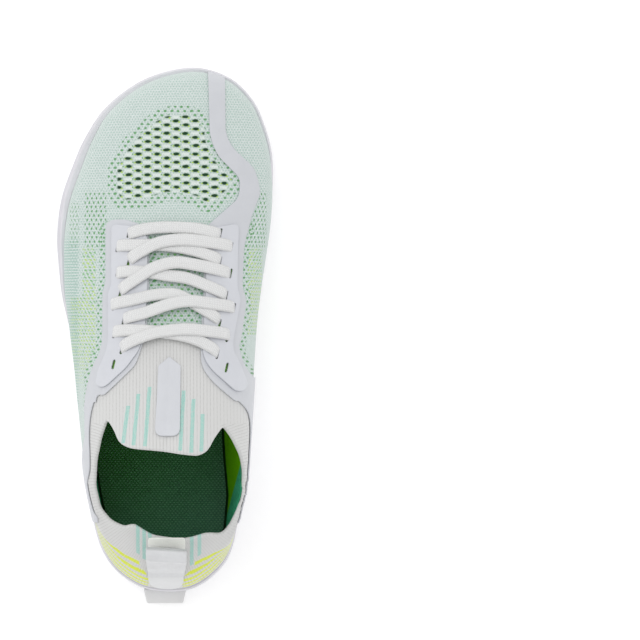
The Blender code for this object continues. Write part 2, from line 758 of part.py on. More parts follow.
def main():
    for old in list(bpy.data.objects):
        bpy.data.objects.remove(old)
    parts = bpy.data.collections.new("barefoot_knit_shoe")
    tools = bpy.data.collections.new("cutters")
    bpy.context.scene.collection.children.link(parts)
    bpy.context.scene.collection.children.link(tools)

    make_outsole(parts, tools)
    new_object("insole", insole_body, parts)
    make_upper(parts, tools)

    film = shell("film", GAP, FILM_THICKNESS, tools)
    make_overlay("overlay_lateral", film, FILM_OUTER, FILM_OUTER[18][0], parts, tools)
    make_overlay("overlay_medial", film, FILM_INNER, FILM_INNER[18][0], parts, tools)
    tape = copy_of(film, "heel_tape", parts)
    boolean(tape, prism("area", tape_outline(), 0.4, tools), "INTERSECT")
    bpy.data.objects.remove(film)

    panel_lift = GAP + FILM_THICKNESS + GAP
    skin = shell("skin", panel_lift, PANEL_THICKNESS, tools)
    make_lace_panel("lace_panel_lateral", skin, PANEL_OUTER, SLOTS_OUTER, parts, tools)
    make_lace_panel("lace_panel_medial", skin, PANEL_INNER, SLOTS_INNER, parts, tools)
    bpy.data.objects.remove(skin)

    skin = shell("skin", GAP, TAB_THICKNESS, tools)
    tab = copy_of(skin, "tongue_tab", parts)
    boolean(tab, prism("area", rounded(plan_outline(TAB), 0.003), 0.4, tools), "INTERSECT")
    make_heel_patch(skin, parts, tools)
    bpy.data.objects.remove(skin)

    skin = shell("skin", panel_lift + PANEL_THICKNESS + GAP, LACE_THICKNESS, tools)
    make_laces(skin, parts, tools)
    bpy.data.objects.remove(skin)

    make_heel_loop(parts)
    for piece in parts.objects:
        finish(piece)


main()
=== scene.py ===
import math

import bmesh
import bpy
import numpy as np
from mathutils import Matrix, Vector
from mathutils.bvhtree import BVHTree


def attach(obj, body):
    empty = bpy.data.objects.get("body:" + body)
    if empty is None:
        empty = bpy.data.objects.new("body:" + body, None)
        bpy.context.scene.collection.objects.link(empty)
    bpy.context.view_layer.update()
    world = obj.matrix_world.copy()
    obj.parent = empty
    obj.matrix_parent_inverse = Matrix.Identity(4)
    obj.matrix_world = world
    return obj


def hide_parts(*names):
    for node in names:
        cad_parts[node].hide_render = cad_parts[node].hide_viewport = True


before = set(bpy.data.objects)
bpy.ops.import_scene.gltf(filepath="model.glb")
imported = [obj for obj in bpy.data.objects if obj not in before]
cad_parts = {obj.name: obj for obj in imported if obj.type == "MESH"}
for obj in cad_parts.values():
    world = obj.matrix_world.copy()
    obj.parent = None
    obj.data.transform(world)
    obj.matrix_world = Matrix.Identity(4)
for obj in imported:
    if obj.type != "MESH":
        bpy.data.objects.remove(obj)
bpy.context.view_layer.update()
print("frame in:", len(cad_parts), "nodes")

# The shoe's form, in metres. Along and across are shares of soleLength and ballWidth.
shoe = {
    "soleLength": 0.279,
    "ballWidth": 0.1157,
    "instepHeight": 0.110,
    "rimHeight": 0.017,
    "rimWidth": 0.0042,
    "soleFlare": 0.0015,
    "sideBulge": 0.0036,
    "lugDepth": 0.0016,
    "floorThickness": 0.0034,
    "toeSpring": 0.004,
    "springStart": 0.70,
    "heelLipReach": 0.0062,
    "knitWall": 0.002,
    "gap": 0.0003,
}

# Ribs from the heel's middle to the toe's middle; outer is the little-toe side.
ribNames = ("outerAlong", "outerAcross", "innerAlong", "innerAcross", "spineAlong",
            "spineAcross", "top", "widest", "outerFull", "innerFull")
ribRows = (
    (0.010, 0.000, 0.010, 0.000, 0.163, 0.000, 0.81, 0.250, 1.45, 1.45),
    (0.018, -0.111, 0.014, 0.111, 0.167, 0.000, 0.82, 0.252, 1.50, 1.50),
    (0.046, -0.213, 0.037, 0.204, 0.175, 0.000, 0.83, 0.257, 1.50, 1.50),
    (0.085, -0.276, 0.075, 0.278, 0.187, 0.000, 0.86, 0.262, 1.62, 1.65),
    (0.138, -0.313, 0.138, 0.318, 0.203, 0.000, 0.93, 0.268, 1.95, 3.00),
    (0.211, -0.343, 0.211, 0.351, 0.225, 0.000, 1.02, 0.272, 2.10, 3.20),
    (0.288, -0.359, 0.288, 0.361, 0.258, 0.000, 1.02, 0.275, 1.85, 2.30),
    (0.359, -0.371, 0.368, 0.370, 0.307, 0.002, 0.92, 0.275, 1.75, 2.00),
    (0.432, -0.387, 0.441, 0.378, 0.378, 0.012, 0.81, 0.270, 1.75, 1.90),
    (0.503, -0.419, 0.514, 0.391, 0.461, 0.023, 0.71, 0.265, 1.80, 1.90),
    (0.566, -0.451, 0.580, 0.412, 0.545, 0.032, 0.63, 0.255, 1.90, 1.95),
    (0.624, -0.461, 0.649, 0.437, 0.630, 0.042, 0.56, 0.245, 1.95, 2.00),
    (0.681, -0.462, 0.718, 0.460, 0.706, 0.051, 0.505, 0.235, 2.00, 2.05),
    (0.743, -0.440, 0.783, 0.475, 0.775, 0.065, 0.465, 0.225, 2.05, 2.10),
    (0.802, -0.391, 0.837, 0.472, 0.825, 0.079, 0.440, 0.215, 2.15, 2.20),
    (0.864, -0.331, 0.887, 0.442, 0.858, 0.090, 0.427, 0.210, 2.20, 2.25),
    (0.920, -0.245, 0.935, 0.389, 0.879, 0.097, 0.419, 0.210, 2.25, 2.30),
    (0.970, -0.083, 0.976, 0.282, 0.891, 0.101, 0.415, 0.210, 2.30, 2.30),
    (0.992, 0.120, 0.992, 0.120, 0.896, 0.102, 0.413, 0.210, 2.30, 2.30),
)

# At every second rib: the rim, the flare under it, the knit's bulge over it, the rim's height.
edgeNames = ("outerRim", "innerRim", "outerFlare", "innerFlare", "outerBulge", "innerBulge",
             "height")
edgeRows = (
    (0.64, 0.64, 0.10, 0.10, 0.10, 0.10, 1.00),
    (0.50, 0.64, 0.10, 0.10, 0.10, 0.10, 0.97),
    (0.52, 0.52, 0.10, 0.10, 0.38, 0.42, 0.91),
    (0.52, 0.52, 0.10, 0.10, 0.78, 0.78, 0.85),
    (0.52, 0.52, 0.10, 0.10, 1.00, 1.00, 0.82),
    (0.60, 0.57, 0.25, 0.10, 0.25, 0.92, 0.82),
    (0.67, 0.60, 1.00, 0.10, 0.00, 0.86, 0.82),
    (1.00, 0.52, 0.65, 0.10, 0.00, 0.14, 0.85),
    (0.81, 0.50, 0.15, 0.10, 0.00, 0.00, 0.90),
    (0.64, 0.64, 0.10, 0.10, 0.00, 0.00, 0.97),
)


def roundTheShoe(rows, names, outer, inner):
    there = [row[names.index(outer)] for row in rows]
    back = [row[names.index(inner)] for row in rows]
    return there + back[-2:0:-1]


columns = {}
for name, pair in {"along": "Along", "across": "Across", "full": "Full"}.items():
    columns[name] = roundTheShoe(ribRows, ribNames, "outer" + pair, "inner" + pair)
for name in ("spineAlong", "spineAcross", "top", "widest"):
    columns[name] = roundTheShoe(ribRows, ribNames, name, name)
for name in ("Rim", "Flare", "Bulge"):
    columns[name] = roundTheShoe(edgeRows, edgeNames, "outer" + name, "inner" + name)
columns["height"] = roundTheShoe(edgeRows, edgeNames, "height", "height")


def glide(a, b, c, d, t):  # a smooth curve from b to c, t from 0 to 1
    return b + 0.5 * t * (c - a + t * (2 * a - 5 * b + 4 * c - d + t * (3 * (b - c) + d - a)))


def read(column, turn):  # turn 0 is the heel, 0.5 the toe, little-toe side first
    values = columns[column]
    count = len(values)
    place = (turn % 1.0) * count
    i = int(place)
    return glide(*(values[(i + k) % count] for k in (-1, 0, 1, 2)), place - i)


middle = [0.0, 0.0]


def plan(along, across):
    return Vector((shoe["ballWidth"] * across - middle[0],
                   shoe["soleLength"] * along - middle[1], 0))


def wallLine(turn):
    return plan(read("along", turn), read("across", turn))


def outward(turn):
    ahead = wallLine(turn + 0.002) - wallLine(turn - 0.002)
    return Vector((-ahead.y, ahead.x, 0)).normalized()


def centreTheShoe():
    reach, bulge = [], []
    for i in range(360):
        turn = i / 360
        rim = shoe["rimWidth"] * read("Rim", turn) + shoe["soleFlare"] * read("Flare", turn)
        reach.append(wallLine(turn) + outward(turn) * rim)
        bulge.append(wallLine(turn) + outward(turn) * shoe["sideBulge"] * read("Bulge", turn))
    xs = [p.x for p in reach + bulge]
    ys = [p.y for p in reach]
    middle[0] = (min(xs) + max(xs)) / 2
    middle[1] = (min(ys) - shoe["heelLipReach"] + max(ys)) / 2
    return min(ys) - middle[1]


soleBack = centreTheShoe()


def spring(y):
    start, toe = plan(shoe["springStart"], 0).y, plan(1, 0).y
    return shoe["toeSpring"] * max(0.0, (y - start) / (toe - start)) ** 2


def floorHeight(y):
    return shoe["lugDepth"] + shoe["floorThickness"] + spring(y)


ringCache = {}


def ringAt(turn):  # what every height of one rib needs
    key = round(turn % 1.0, 6)
    if key not in ringCache:
        line = wallLine(key)
        rim = shoe["rimHeight"] * read("height", key) + spring(line.y) * 0.5
        spine = plan(read("spineAlong", key), read("spineAcross", key))
        spine.z = shoe["instepHeight"] * read("top", key)
        ringCache[key] = {
            "line": line, "out": outward(key), "spine": spine, "rim": rim,
            "start": rim + 4 * shoe["gap"],
            "bulge": shoe["sideBulge"] * read("Bulge", key),
            "widest": shoe["instepHeight"] * read("widest", key),
            "power": 2 / read("full", key),
            "bottom": floorHeight(line.y) + shoe["gap"],
        }
    return ringCache[key]


def lastPoint(turn, climb):  # climb: -1 in the cup, 0 at the widest line, 1 on the spine
    ring = ringAt(turn)
    if climb < 0:
        z = ring["widest"] + climb * (ring["widest"] - ring["bottom"])
        share = min(1.0, max(0.0, (z - ring["start"]) / (ring["widest"] - ring["start"])))
        point = ring["line"] + ring["out"] * ring["bulge"] * math.sin(share * math.pi / 2)
        point.z = z
        return point
    side = ring["line"] + ring["out"] * ring["bulge"]
    near = math.cos(climb * math.pi / 2) ** ring["power"] if climb < 0.9999 else 0.0
    rise = math.sin(climb * math.pi / 2) ** ring["power"]
    point = ring["spine"].lerp(side, near)
    point.z = ring["widest"] + (ring["spine"].z - ring["widest"]) * rise
    return point


def weld(shape, reach=0.00002):
    bmesh.ops.remove_doubles(shape, verts=shape.verts, dist=reach)


def addSheet(place, across, up):  # an even sheet whose points go where place(u, v) says
    shape = bmesh.new()
    bmesh.ops.create_grid(shape, x_segments=across, y_segments=up, size=0.5)
    for vert in shape.verts:
        vert.co = place(vert.co.x + 0.5, vert.co.y + 0.5)
    return shape


def faceOut(shape, heart=(0, 0, 0.03)):  # turns the faces away from a point inside
    shape.normal_update()
    heart = Vector(heart)
    if sum(f.normal.dot(f.calc_center_median() - heart) for f in shape.faces) < 0:
        bmesh.ops.reverse_faces(shape, faces=shape.faces)
        shape.normal_update()


def lastSheet(turns, climbs, across, up):
    start, end = turns
    low, high = climbs
    shape = addSheet(lambda u, v: lastPoint(start + (end - start) * u, low + (high - low) * v),
                     across, up)
    weld(shape)
    faceOut(shape)
    return shape


def lift(shape, amount):
    moves = [(v, v.normal.copy()) for v in shape.verts]
    for vert, normal in moves:
        vert.co += normal * amount


def rounded(corners, radii, steps=5):  # one radius, or one for each corner
    outline = []
    for i, corner in enumerate(corners):
        radius = radii[i] if isinstance(radii, tuple) else radii
        here = Vector(corner)
        before = Vector(corners[i - 1]) - here
        after = Vector(corners[(i + 1) % len(corners)]) - here
        cut = min(radius, 0.45 * before.length, 0.45 * after.length)
        start, end = here + before.normalized() * cut, here + after.normalized() * cut
        for step in range(steps + 1):
            t = step / steps
            outline.append(start * (1 - t) ** 2 + here * 2 * t * (1 - t) + end * t * t)
    return outline


def insideBy(points, outline):  # distance to a closed outline, positive inside it
    ends = np.array([(p[0], p[1]) for p in outline])
    starts = np.roll(ends, 1, axis=0)
    nearest = np.full(len(points), 1e9)
    inside = np.zeros(len(points), bool)
    px, py = points[:, 0], points[:, 1]
    for a, b in zip(starts, ends):
        run = b - a
        length = max(run @ run, 1e-18)
        t = np.clip(((px - a[0]) * run[0] + (py - a[1]) * run[1]) / length, 0, 1)
        nearest = np.minimum(nearest, np.hypot(px - a[0] - run[0] * t, py - a[1] - run[1] * t))
        if a[1] != b[1]:
            crosses = (a[1] > py) != (b[1] > py)
            inside ^= crosses & (px < run[0] * (py - a[1]) / run[1] + a[0])
    return np.where(inside, nearest, -nearest)


def places(shape):
    return np.array([v.co for v in shape.verts])


def planField(outline):
    return lambda points: insideBy(points[:, :2], outline)


def planCorners(shares):
    return [plan(along, across).to_2d() for along, across in shares]


def trim(shape, field):  # keeps the part where the field is positive
    layer = shape.verts.layers.float.new("cut")
    for vert, value in zip(shape.verts, field(places(shape))):
        vert[layer] = value
    crossing = [e for e in shape.edges
                if (e.verts[0][layer] > 0) != (e.verts[1][layer] > 0)]
    fresh = []
    for edge in crossing:
        a, b = edge.verts
        share = min(0.97, max(0.03, a[layer] / (a[layer] - b[layer])))
        vert = bmesh.utils.edge_split(edge, a, share)[1]
        vert[layer] = 0.0
        fresh.append(vert)
    bmesh.ops.connect_verts(shape, verts=fresh)
    gone = [f for f in shape.faces if sum(v[layer] for v in f.verts) <= 0]
    bmesh.ops.delete(shape, geom=gone, context="FACES")
    shape.verts.layers.float.remove(shape.verts.layers.float["cut"])


def chart(shape, name, values):  # a number at each point, for the materials to read
    layer = shape.verts.layers.float.new(name)
    for vert, value in zip(shape.verts, values):
        vert[layer] = float(value)


def makePiece(name, shape, *materials):
    mesh = bpy.data.meshes.new(name)
    shape.to_mesh(mesh)
    shape.free()
    mesh.shade_smooth()
    piece = bpy.data.objects.new(name, mesh)
    bpy.context.scene.collection.objects.link(piece)
    for material in materials:
        mesh.materials.append(material)
    return piece


def thicken(shape, outer, inner, edge, steps, insideMaterial=0):
    # a wall between two lifts of the sheet, with a rounded rim laid on row by row
    shape.normal_update()
    normals = {v: v.normal.copy() for v in shape.verts}
    border = [e for e in shape.edges if len(e.link_faces) == 1]
    away = {}
    for rim in border:
        face = rim.link_faces[0]
        a, b = rim.verts
        along = (b.co - a.co).normalized()
        out = (a.co + b.co) / 2 - face.calc_center_median()
        out = (out - along * out.dot(along)).normalized()
        for vert in (a, b):
            away[vert] = away.get(vert, Vector()) + out
    faces = shape.faces[:]
    twin = bmesh.ops.duplicate(shape, geom=shape.verts[:] + shape.edges[:] + faces)["vert_map"]
    thick = outer - inner
    rows = [(edge * math.sin(t), edge * (1 - math.cos(t)))
            for t in (k / steps * math.pi / 2 for k in range(1, steps + 1))]
    rows += [(reach, thick - depth) for reach, depth in rows[::-1] if thick - depth > depth + 1e-6]
    rims = {}
    for vert, out in away.items():
        normal = normals[vert]
        out = (out - normal * out.dot(normal)).normalized()
        chain = [vert]
        for reach, depth in rows:
            spot = vert.co + normal * (outer - depth) + out * reach
            chain.append(shape.verts.new(spot, vert))
        rims[vert] = chain + [twin[vert]]
    for rim in border:
        a, b = rim.verts
        if rim.link_loops[0].vert is a:
            a, b = b, a
        first, second = rims[a], rims[b]
        for k in range(len(first) - 1):
            shape.faces.new((first[k], second[k], second[k + 1], first[k + 1]))
    for vert, normal in normals.items():
        twin[vert].co = vert.co + normal * inner
        vert.co = vert.co + normal * outer
    backs = {twin[v] for v in normals}
    back = [f for f in shape.faces if all(v in backs for v in f.verts)]
    bmesh.ops.reverse_faces(shape, faces=back)
    for face in back:
        face.material_index = insideMaterial
    shape.normal_update()


def belongs(piece, slot, *nodes):
    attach(piece, "root")
    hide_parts(*nodes)


# Materials. A Wire is a socket that takes sums.
class Wire:
    def __init__(self, recipe, socket):
        self.recipe = recipe
        self.socket = socket

    def maths(self, operation, *others):
        return self.recipe.add("ShaderNodeMath", {"operation": operation}, [self, *others])

    def __add__(self, other):
        return self.maths("ADD", other)

    __radd__ = __add__

    def __mul__(self, other):
        return self.maths("MULTIPLY", other)

    __rmul__ = __mul__

    def __sub__(self, other):
        return self.maths("SUBTRACT", other)

    def __rsub__(self, other):
        return self.recipe.add("ShaderNodeMath", {"operation": "SUBTRACT"}, [other, self])

    def __truediv__(self, other):
        return self.maths("DIVIDE", other)

    def __abs__(self):
        return self.maths("ABSOLUTE")

    def __gt__(self, other):
        return self.maths("GREATER_THAN", other)

    def __lt__(self, other):
        return self.maths("LESS_THAN", other)


def tone(red, green, blue):  # a screen colour as the shader wants it
    parts = [c / 255 for c in (red, green, blue)]
    return (*[c / 12.92 if c < 0.04045 else ((c + 0.055) / 1.055) ** 2.4 for c in parts], 1)


class Recipe:
    def __init__(self, name, roughness=0.6, **fixed):
        self.material = bpy.data.materials.new(name)
        self.material.use_nodes = True
        self.tree = self.material.node_tree
        self.surface = self.tree.nodes["Principled BSDF"]
        self.surface.inputs["Roughness"].default_value = roughness
        for key, value in fixed.items():
            self.surface.inputs[key.replace("_", " ")].default_value = value

    def add(self, kind, settings=None, inputs=(), out=0):
        node = self.tree.nodes.new(kind)
        for key, value in (settings or {}).items():
            setattr(node, key, value)
        rows = inputs.items() if isinstance(inputs, dict) else enumerate(inputs)
        for key, value in rows:
            if isinstance(value, Wire):
                self.tree.links.new(value.socket, node.inputs[key])
            else:
                node.inputs[key].default_value = value
        return Wire(self, node.outputs[out])

    def millimetres(self):  # the shoe's own x, y, z
        place = self.add("ShaderNodeTexCoord", out="Object")
        parts = [self.add("ShaderNodeSeparateXYZ", {}, [place], out=i) for i in range(3)]
        return [p * 1000.0 for p in parts]

    def charted(self, name):
        return self.add("ShaderNodeAttribute", {"attribute_name": name}, out="Fac")

    def between(self, value, low, high):  # 0 below low, 1 above high, soft in between
        return self.add("ShaderNodeMapRange", {"interpolation_type": "SMOOTHSTEP"},
                        {"Value": value, "From Min": low, "From Max": high})

    def zone(self, value, start, full, last, end):  # 1 from full to last, 0 past start and end
        return self.between(value, start, full) * self.between(value, end, last)

    def mix(self, share, first, second):
        return self.add("ShaderNodeMix", {"data_type": "RGBA"}, {0: share, 6: first, 7: second},
                        out=2)

    def noise(self, scale, detail=2.0, x=None, y=None, z=0.0):  # scale in millimetres
        if x is None:
            x, y, z = self.millimetres()
        point = self.add("ShaderNodeCombineXYZ", {}, [x, y, z])
        return self.add("ShaderNodeTexNoise", {},
                        {"Vector": point, "Scale": 1.0 / scale, "Detail": detail})

    def lattice(self, x, y, pitchX, pitchY):  # staggered cells: offsets from each centre
        row = (y / pitchY).maths("FLOOR")
        shift = (row * 0.5).maths("FRACT")
        cellX = ((x / pitchX + shift).maths("FRACT") - 0.5) * pitchX
        cellY = ((y / pitchY).maths("FRACT") - 0.5) * pitchY
        return cellX, cellY

    def ripple(self, value, pitch):  # 0 to 0.5 and back at every pitch
        return abs((value / pitch).maths("FRACT") - 0.5)

    def oval(self, x, y, wide, high, soft=0.25):
        far = ((x / wide).maths("POWER", 2.0) + (y / high).maths("POWER", 2.0)).maths("SQRT")
        return self.between(far, 1 + soft, 1 - soft)

    def finish(self, colour, bump, depth, roughness=None):
        normal = self.add("ShaderNodeBump", {}, {"Strength": 1.0, "Distance": depth,
                                                 "Height": bump}, out="Normal")
        for name, wire in (("Base Color", colour), ("Normal", normal), ("Roughness", roughness)):
            if wire is not None:
                self.tree.links.new(wire.socket, self.surface.inputs[name])
        return self.material


def smaller(a, b):
    return a.maths("MINIMUM", b)


def larger(a, b):
    return a.maths("MAXIMUM", b)


# The knit
knit = {
    "mint": tone(201, 214, 209),
    "mintLight": tone(220, 228, 226),
    # the fine stitches' colour, also used for the painted shade along the throat's edges
    "fineDotAndShade": tone(142, 184, 170),
    "green": tone(84, 158, 84),
    # the eyelet holes' green lining, darkened by painted shade
    "holeShadeGreen": tone(20, 62, 30),
    "slotGreen": tone(150, 204, 108),
    "leaf": tone(112, 182, 96),
    "lime": tone(184, 216, 74),
    "limeBright": tone(224, 236, 70),
    "white": tone(216, 216, 215),
    # painted shade in the rib knit's grooves
    "ribGroovePaintedShade": tone(188, 188, 184),
    "stripe": tone(164, 212, 202),
    # white yarn of the vents' puffs, with a painted highlight
    "ridge": tone(232, 239, 235),
    # painted shade round the vent eyelets
    "ventPaintedShade": tone(138, 172, 150),
    "eyeletPitch": (5.05, 4.4),  # sizes from here on in millimetres
    "eyelet": (1.48, 0.74, 0.28),
    "fringe": (2.0, 0.9, 0.35),
    "ventShadow": (2.5, 1.35, 0.6),
    "puff": (2.2, 1.1, 0.6),
    "specks": ((-1.5, 0.7, 0.62, 0.4), (1.7, 0.3, 0.5, 0.35)),  # place and size
    "gapDot": (0.5, 0.45, 0.3),
    "finePitch": (1.5, 1.35),
    "fineStitch": (0.4, 0.42),
    "dotPitch": (3.5, 2.3),
    "dot": (0.78, 0.62),
    "besidePitch": (2.6, 2.1),
    "besideDot": (0.62, 0.55),
    "ovalPitch": (2.9, 2.3),
    "sideOval": (0.52, 0.68),
    "dashPitch": (2.9, 1.85),
    "dash": (0.95, 0.5),
    "linePitch": 1.5,
    "rowPitch": 3.7,
    "walePitch": 1.75,
    "coursePitch": 1.1,
    "seamSoft": (-0.3, 0.3),
    "relief": 0.00024,  # in metres, as a bump's depth is
}
# Where the knitted patterns and the throat's painted shade begin, are full, fade and end, in mm
knitZones = {
    "arch": (-2.6, -2.0, 1.8, 2.4),
    "beside": (0.4, 0.8, 3.4, 3.9),
    "outerBall": (-30.5, -31.5, -42.0, -43.0),
    "outerEdge": (-45.0, -46.0, -50.0, -51.0),
    "innerBall": (43.5, 45.0, 53.0, 54.0),
    "ballLength": (78.0, 74.0, 48.0, 44.0),
    "outerDashes": (-50.5, -49.0, -37.0, -36.0),
    "innerDashes": (43.0, 44.0, 50.5, 52.0),
    "dashLength": (48.0, 44.0, -8.0, -34.0),
    "throatEdge": (0.0, 1.5, 0.5, 3.0),
}
# Lime stripes round the heel, in mm: the lowest one's height at the back, what it climbs to the
# sides, their distance, and what that loses to the sides; the shares are of that distance
limeBands = {"base": 33.0, "climb": 3.0, "pitch": 6.0, "squeeze": 2.4, "half": 0.20,
             "fuller": 0.07, "soft": 0.06, "count": (-0.4, 4.4), "sides": (8.0, 58.0)}
# Mint lines knitted into the tongue: x and y at the front end and at the rear end, in mm
tongueStripes = ((-19.2, -36.6, -21.8, -55.8), (-13.8, -30.4, -16.4, -56.8),
                 (-8.0, -26.7, -10.4, -57.2), (9.7, -28.6, 7.8, -59.4),
                 (14.8, -33.0, 13.5, -60.5), (19.5, -40.8, 18.7, -60.0))
# The same at the heel: x, and the lowest and highest point
heelStripes = ((-14.2, 63.0, 86.0), (-10.9, 61.5, 86.0), (-7.9, 77.0, 86.0),
               (14.0, 56.0, 86.0), (18.0, 60.0, 86.0))


def knitMaterial():
    make = Recipe("airyKnit", roughness=0.88, Sheen_Weight=0.25, Sheen_Roughness=0.5,
                  Specular_IOR_Level=0.25)
    x, y, z = make.millimetres()
    vent, rib, girth = (make.charted(n) for n in ("vent", "rib", "girth"))
    film, around, slot = (make.charted(n) for n in ("film", "around", "slot"))
    wobble = make.noise(6.0, 2.0, x, y, z) - 0.5
    fleck = make.noise(0.7, 3.0, x, y, z)
    cloth = make.mix(make.between(fleck, 0.38, 0.62), knit["mint"], knit["mintLight"])

    # fine staggered stitches all over
    wx, wy = x + wobble * 0.8, y + wobble * 0.8
    normal = make.add("ShaderNodeNewGeometry", out="Normal")
    steep = make.add("ShaderNodeSeparateXYZ", {}, [normal], out=2) < 0.55
    fineX, fineY = make.lattice(wx + (around - wx) * steep, wy + (girth - wy) * steep,
                                *knit["finePitch"])
    fine = make.oval(fineX, fineY, *knit["fineStitch"], 0.5)
    cloth = make.mix(fine * make.between(fleck, 0.2, 0.55) * 0.6, cloth, knit["fineDotAndShade"])

    # toe vents: wide eyelets between puffed ridges
    pitchX, pitchY = knit["eyeletPitch"]
    holeY, holeX = make.lattice(wy + 1.1, wx + 1.6, pitchY, pitchX)
    area = make.between(vent, 2.2, 3.4)
    # the eyelet holes are not cut: each is painted dark, the green lining seen through it in
    # painted shade
    hole = make.oval(holeX + wobble * 1.6, holeY, *knit["eyelet"]) * area
    fringe = make.oval(holeX, holeY, *knit["fringe"]) * area
    speck = larger(*[make.oval(holeX + aside, holeY + ahead, wide, high, 0.4) * area
                     for aside, ahead, wide, high in knit["specks"]])
    gapY, gapX = make.lattice(wy + 1.1 + pitchY / 2, wx + 1.6, pitchY, pitchX)
    between = make.oval(gapX - 2.3, gapY, *knit["gapDot"]) * area
    # the puffed ridges between the eyelet rows are painted lighter: partly their white yarn,
    # partly a painted highlight on their tops
    puff = make.oval(holeX, abs(holeY) - pitchY / 2, *knit["puff"]) * area
    # painted shade: a soft darker oval round each eyelet, where shade falls into the vents
    shadow = make.oval(holeX, holeY + 0.3, *knit["ventShadow"]) * area
    layers = ((puff * 0.75, "ridge"), (shadow * 0.35, "ventPaintedShade"),
              (larger(fringe * 0.5, between * 0.8), "green"), (speck * 0.9, "lime"),
              (hole, "holeShadeGreen"))
    for mask, name in layers:
        cloth = make.mix(mask, cloth, knit[name])

    # green knitted dots: an arch round the vents and beside the films
    dotX, dotY = make.lattice(wx, wy, *knit["dotPitch"])
    dot = make.oval(dotX + wobble, dotY, *knit["dot"], 0.3)
    arch = make.zone(vent, *knitZones["arch"])
    besideX, besideY = make.lattice(film + wobble * 1.2, y, *knit["besidePitch"])
    beside = make.oval(besideX, besideY, *knit["besideDot"], 0.3)
    beside = beside * make.zone(film, *knitZones["beside"])
    sideOnly = make.between(y, 62.0, 56.0)
    greens = larger(dot * arch, beside * sideOnly)

    # slanting ovals on both sides of the ball, counted down the girth
    sideX, sideY = make.lattice(girth + y * 0.25, y, *knit["ovalPitch"])
    ovals = make.oval(sideX + wobble * 0.6, sideY, *knit["sideOval"], 0.3)
    outerBall = make.zone(x, *knitZones["outerBall"])
    outerEdge = make.zone(x, *knitZones["outerEdge"]) * (y < 70.0)
    innerBall = make.zone(x, *knitZones["innerBall"])
    ball = larger(larger(outerBall, outerEdge * 0.7), innerBall)
    ball = ball * make.zone(y, *knitZones["ballLength"]) * (film > 1.0)
    greens = larger(greens, ovals * ball)
    cloth = make.mix(greens * 0.85, cloth, knit["green"])

    # short slanting stitches farther back, some green and some lime
    dashX, dashY = make.lattice(girth + y * 0.12 + wobble * 1.5, y, *knit["dashPitch"])
    dash = make.oval(dashX, dashY + dashX * 0.35, *knit["dash"], 0.35)
    limeShare = make.between(make.noise(3.2, 1.0, x, y, z), 0.44, 0.52)
    outerBand = make.zone(x, *knitZones["outerDashes"])
    outerBand = outerBand * larger(y < 20.0, x > -43.5)
    innerBand = make.zone(x, *knitZones["innerDashes"]) * (y > 0.0)
    band = larger(outerBand, innerBand) * make.zone(y, *knitZones["dashLength"]) * (film > 3.0)
    rows = make.between(make.ripple(y, knit["rowPitch"]), 0.42, 0.32)
    dash = dash * larger(rows, y > 14.0)
    dashTone = make.mix(limeShare, knit["leaf"], knit["lime"])
    cloth = make.mix(dash * band * 0.75, cloth, dashTone)

    # fine mint ribs low on the little-toe side
    low = make.between(x, -44.5, -47.0) * make.between(y, 56.0, 46.0) * (y > -40.0)
    lines = make.between(make.ripple(y, knit["linePitch"]), 0.15, 0.35)
    cloth = make.mix(low * lines * 0.6, cloth, knit["fineDotAndShade"])

    # throat under the laces: painted shade in a narrow band along its edges, where the laces and
    # films shade it; past that band paler at its sides, dotted along the middle
    inward = make.charted("throat")
    paintedThroatShade = make.zone(inward, *knitZones["throatEdge"])
    throatDots = dot * make.between(inward, 2.5, 5.5) * make.between(y, 66.0, 60.0)
    cloth = make.mix(paintedThroatShade * 0.35, cloth, knit["fineDotAndShade"])
    throatTone = make.mix(make.between(inward, 7.0, 12.0), knit["green"], knit["leaf"])
    cloth = make.mix(throatDots * 0.9, cloth, throatTone)

    # white rib knit of the collar and tongue
    onSides = larger((y < -46.0) * (abs(x) > 28.5), y < -75.0)
    course = x + (around - x) * onSides
    wale = abs((course / knit["walePitch"] + wobble * 0.12).maths("FRACT") - 0.5)
    groove = make.between(wale, 0.12, 0.02)
    stitch = make.ripple(y + z, knit["coursePitch"]) * 2.0
    # painted shade: the grooves between the rib's wales are painted darker, besides their bump
    white = make.mix(groove * (0.1 + 0.5 * stitch), knit["white"], knit["ribGroovePaintedShade"])
    mintMask = None
    for x1, y1, x2, y2 in tongueStripes:
        slope = (x2 - x1) / (y2 - y1)
        off = abs(x - (y - y1) * slope - x1 + wobble * 0.5)
        line = make.between(off, 1.15, 0.8) * (y < y1) * (y > y2)
        mintMask = line if mintMask is None else larger(mintMask, line)
    for x1, lowest, highest in heelStripes:
        line = make.between(abs(x - x1 + wobble * 0.5), 1.1, 0.8) * (y < -92.0)
        line = line * (z > lowest) * (z < highest)
        mintMask = larger(mintMask, line)
    white = make.mix(mintMask * (0.6 + 0.4 * make.between(fleck, 0.35, 0.6)), white,
                     knit["stripe"])

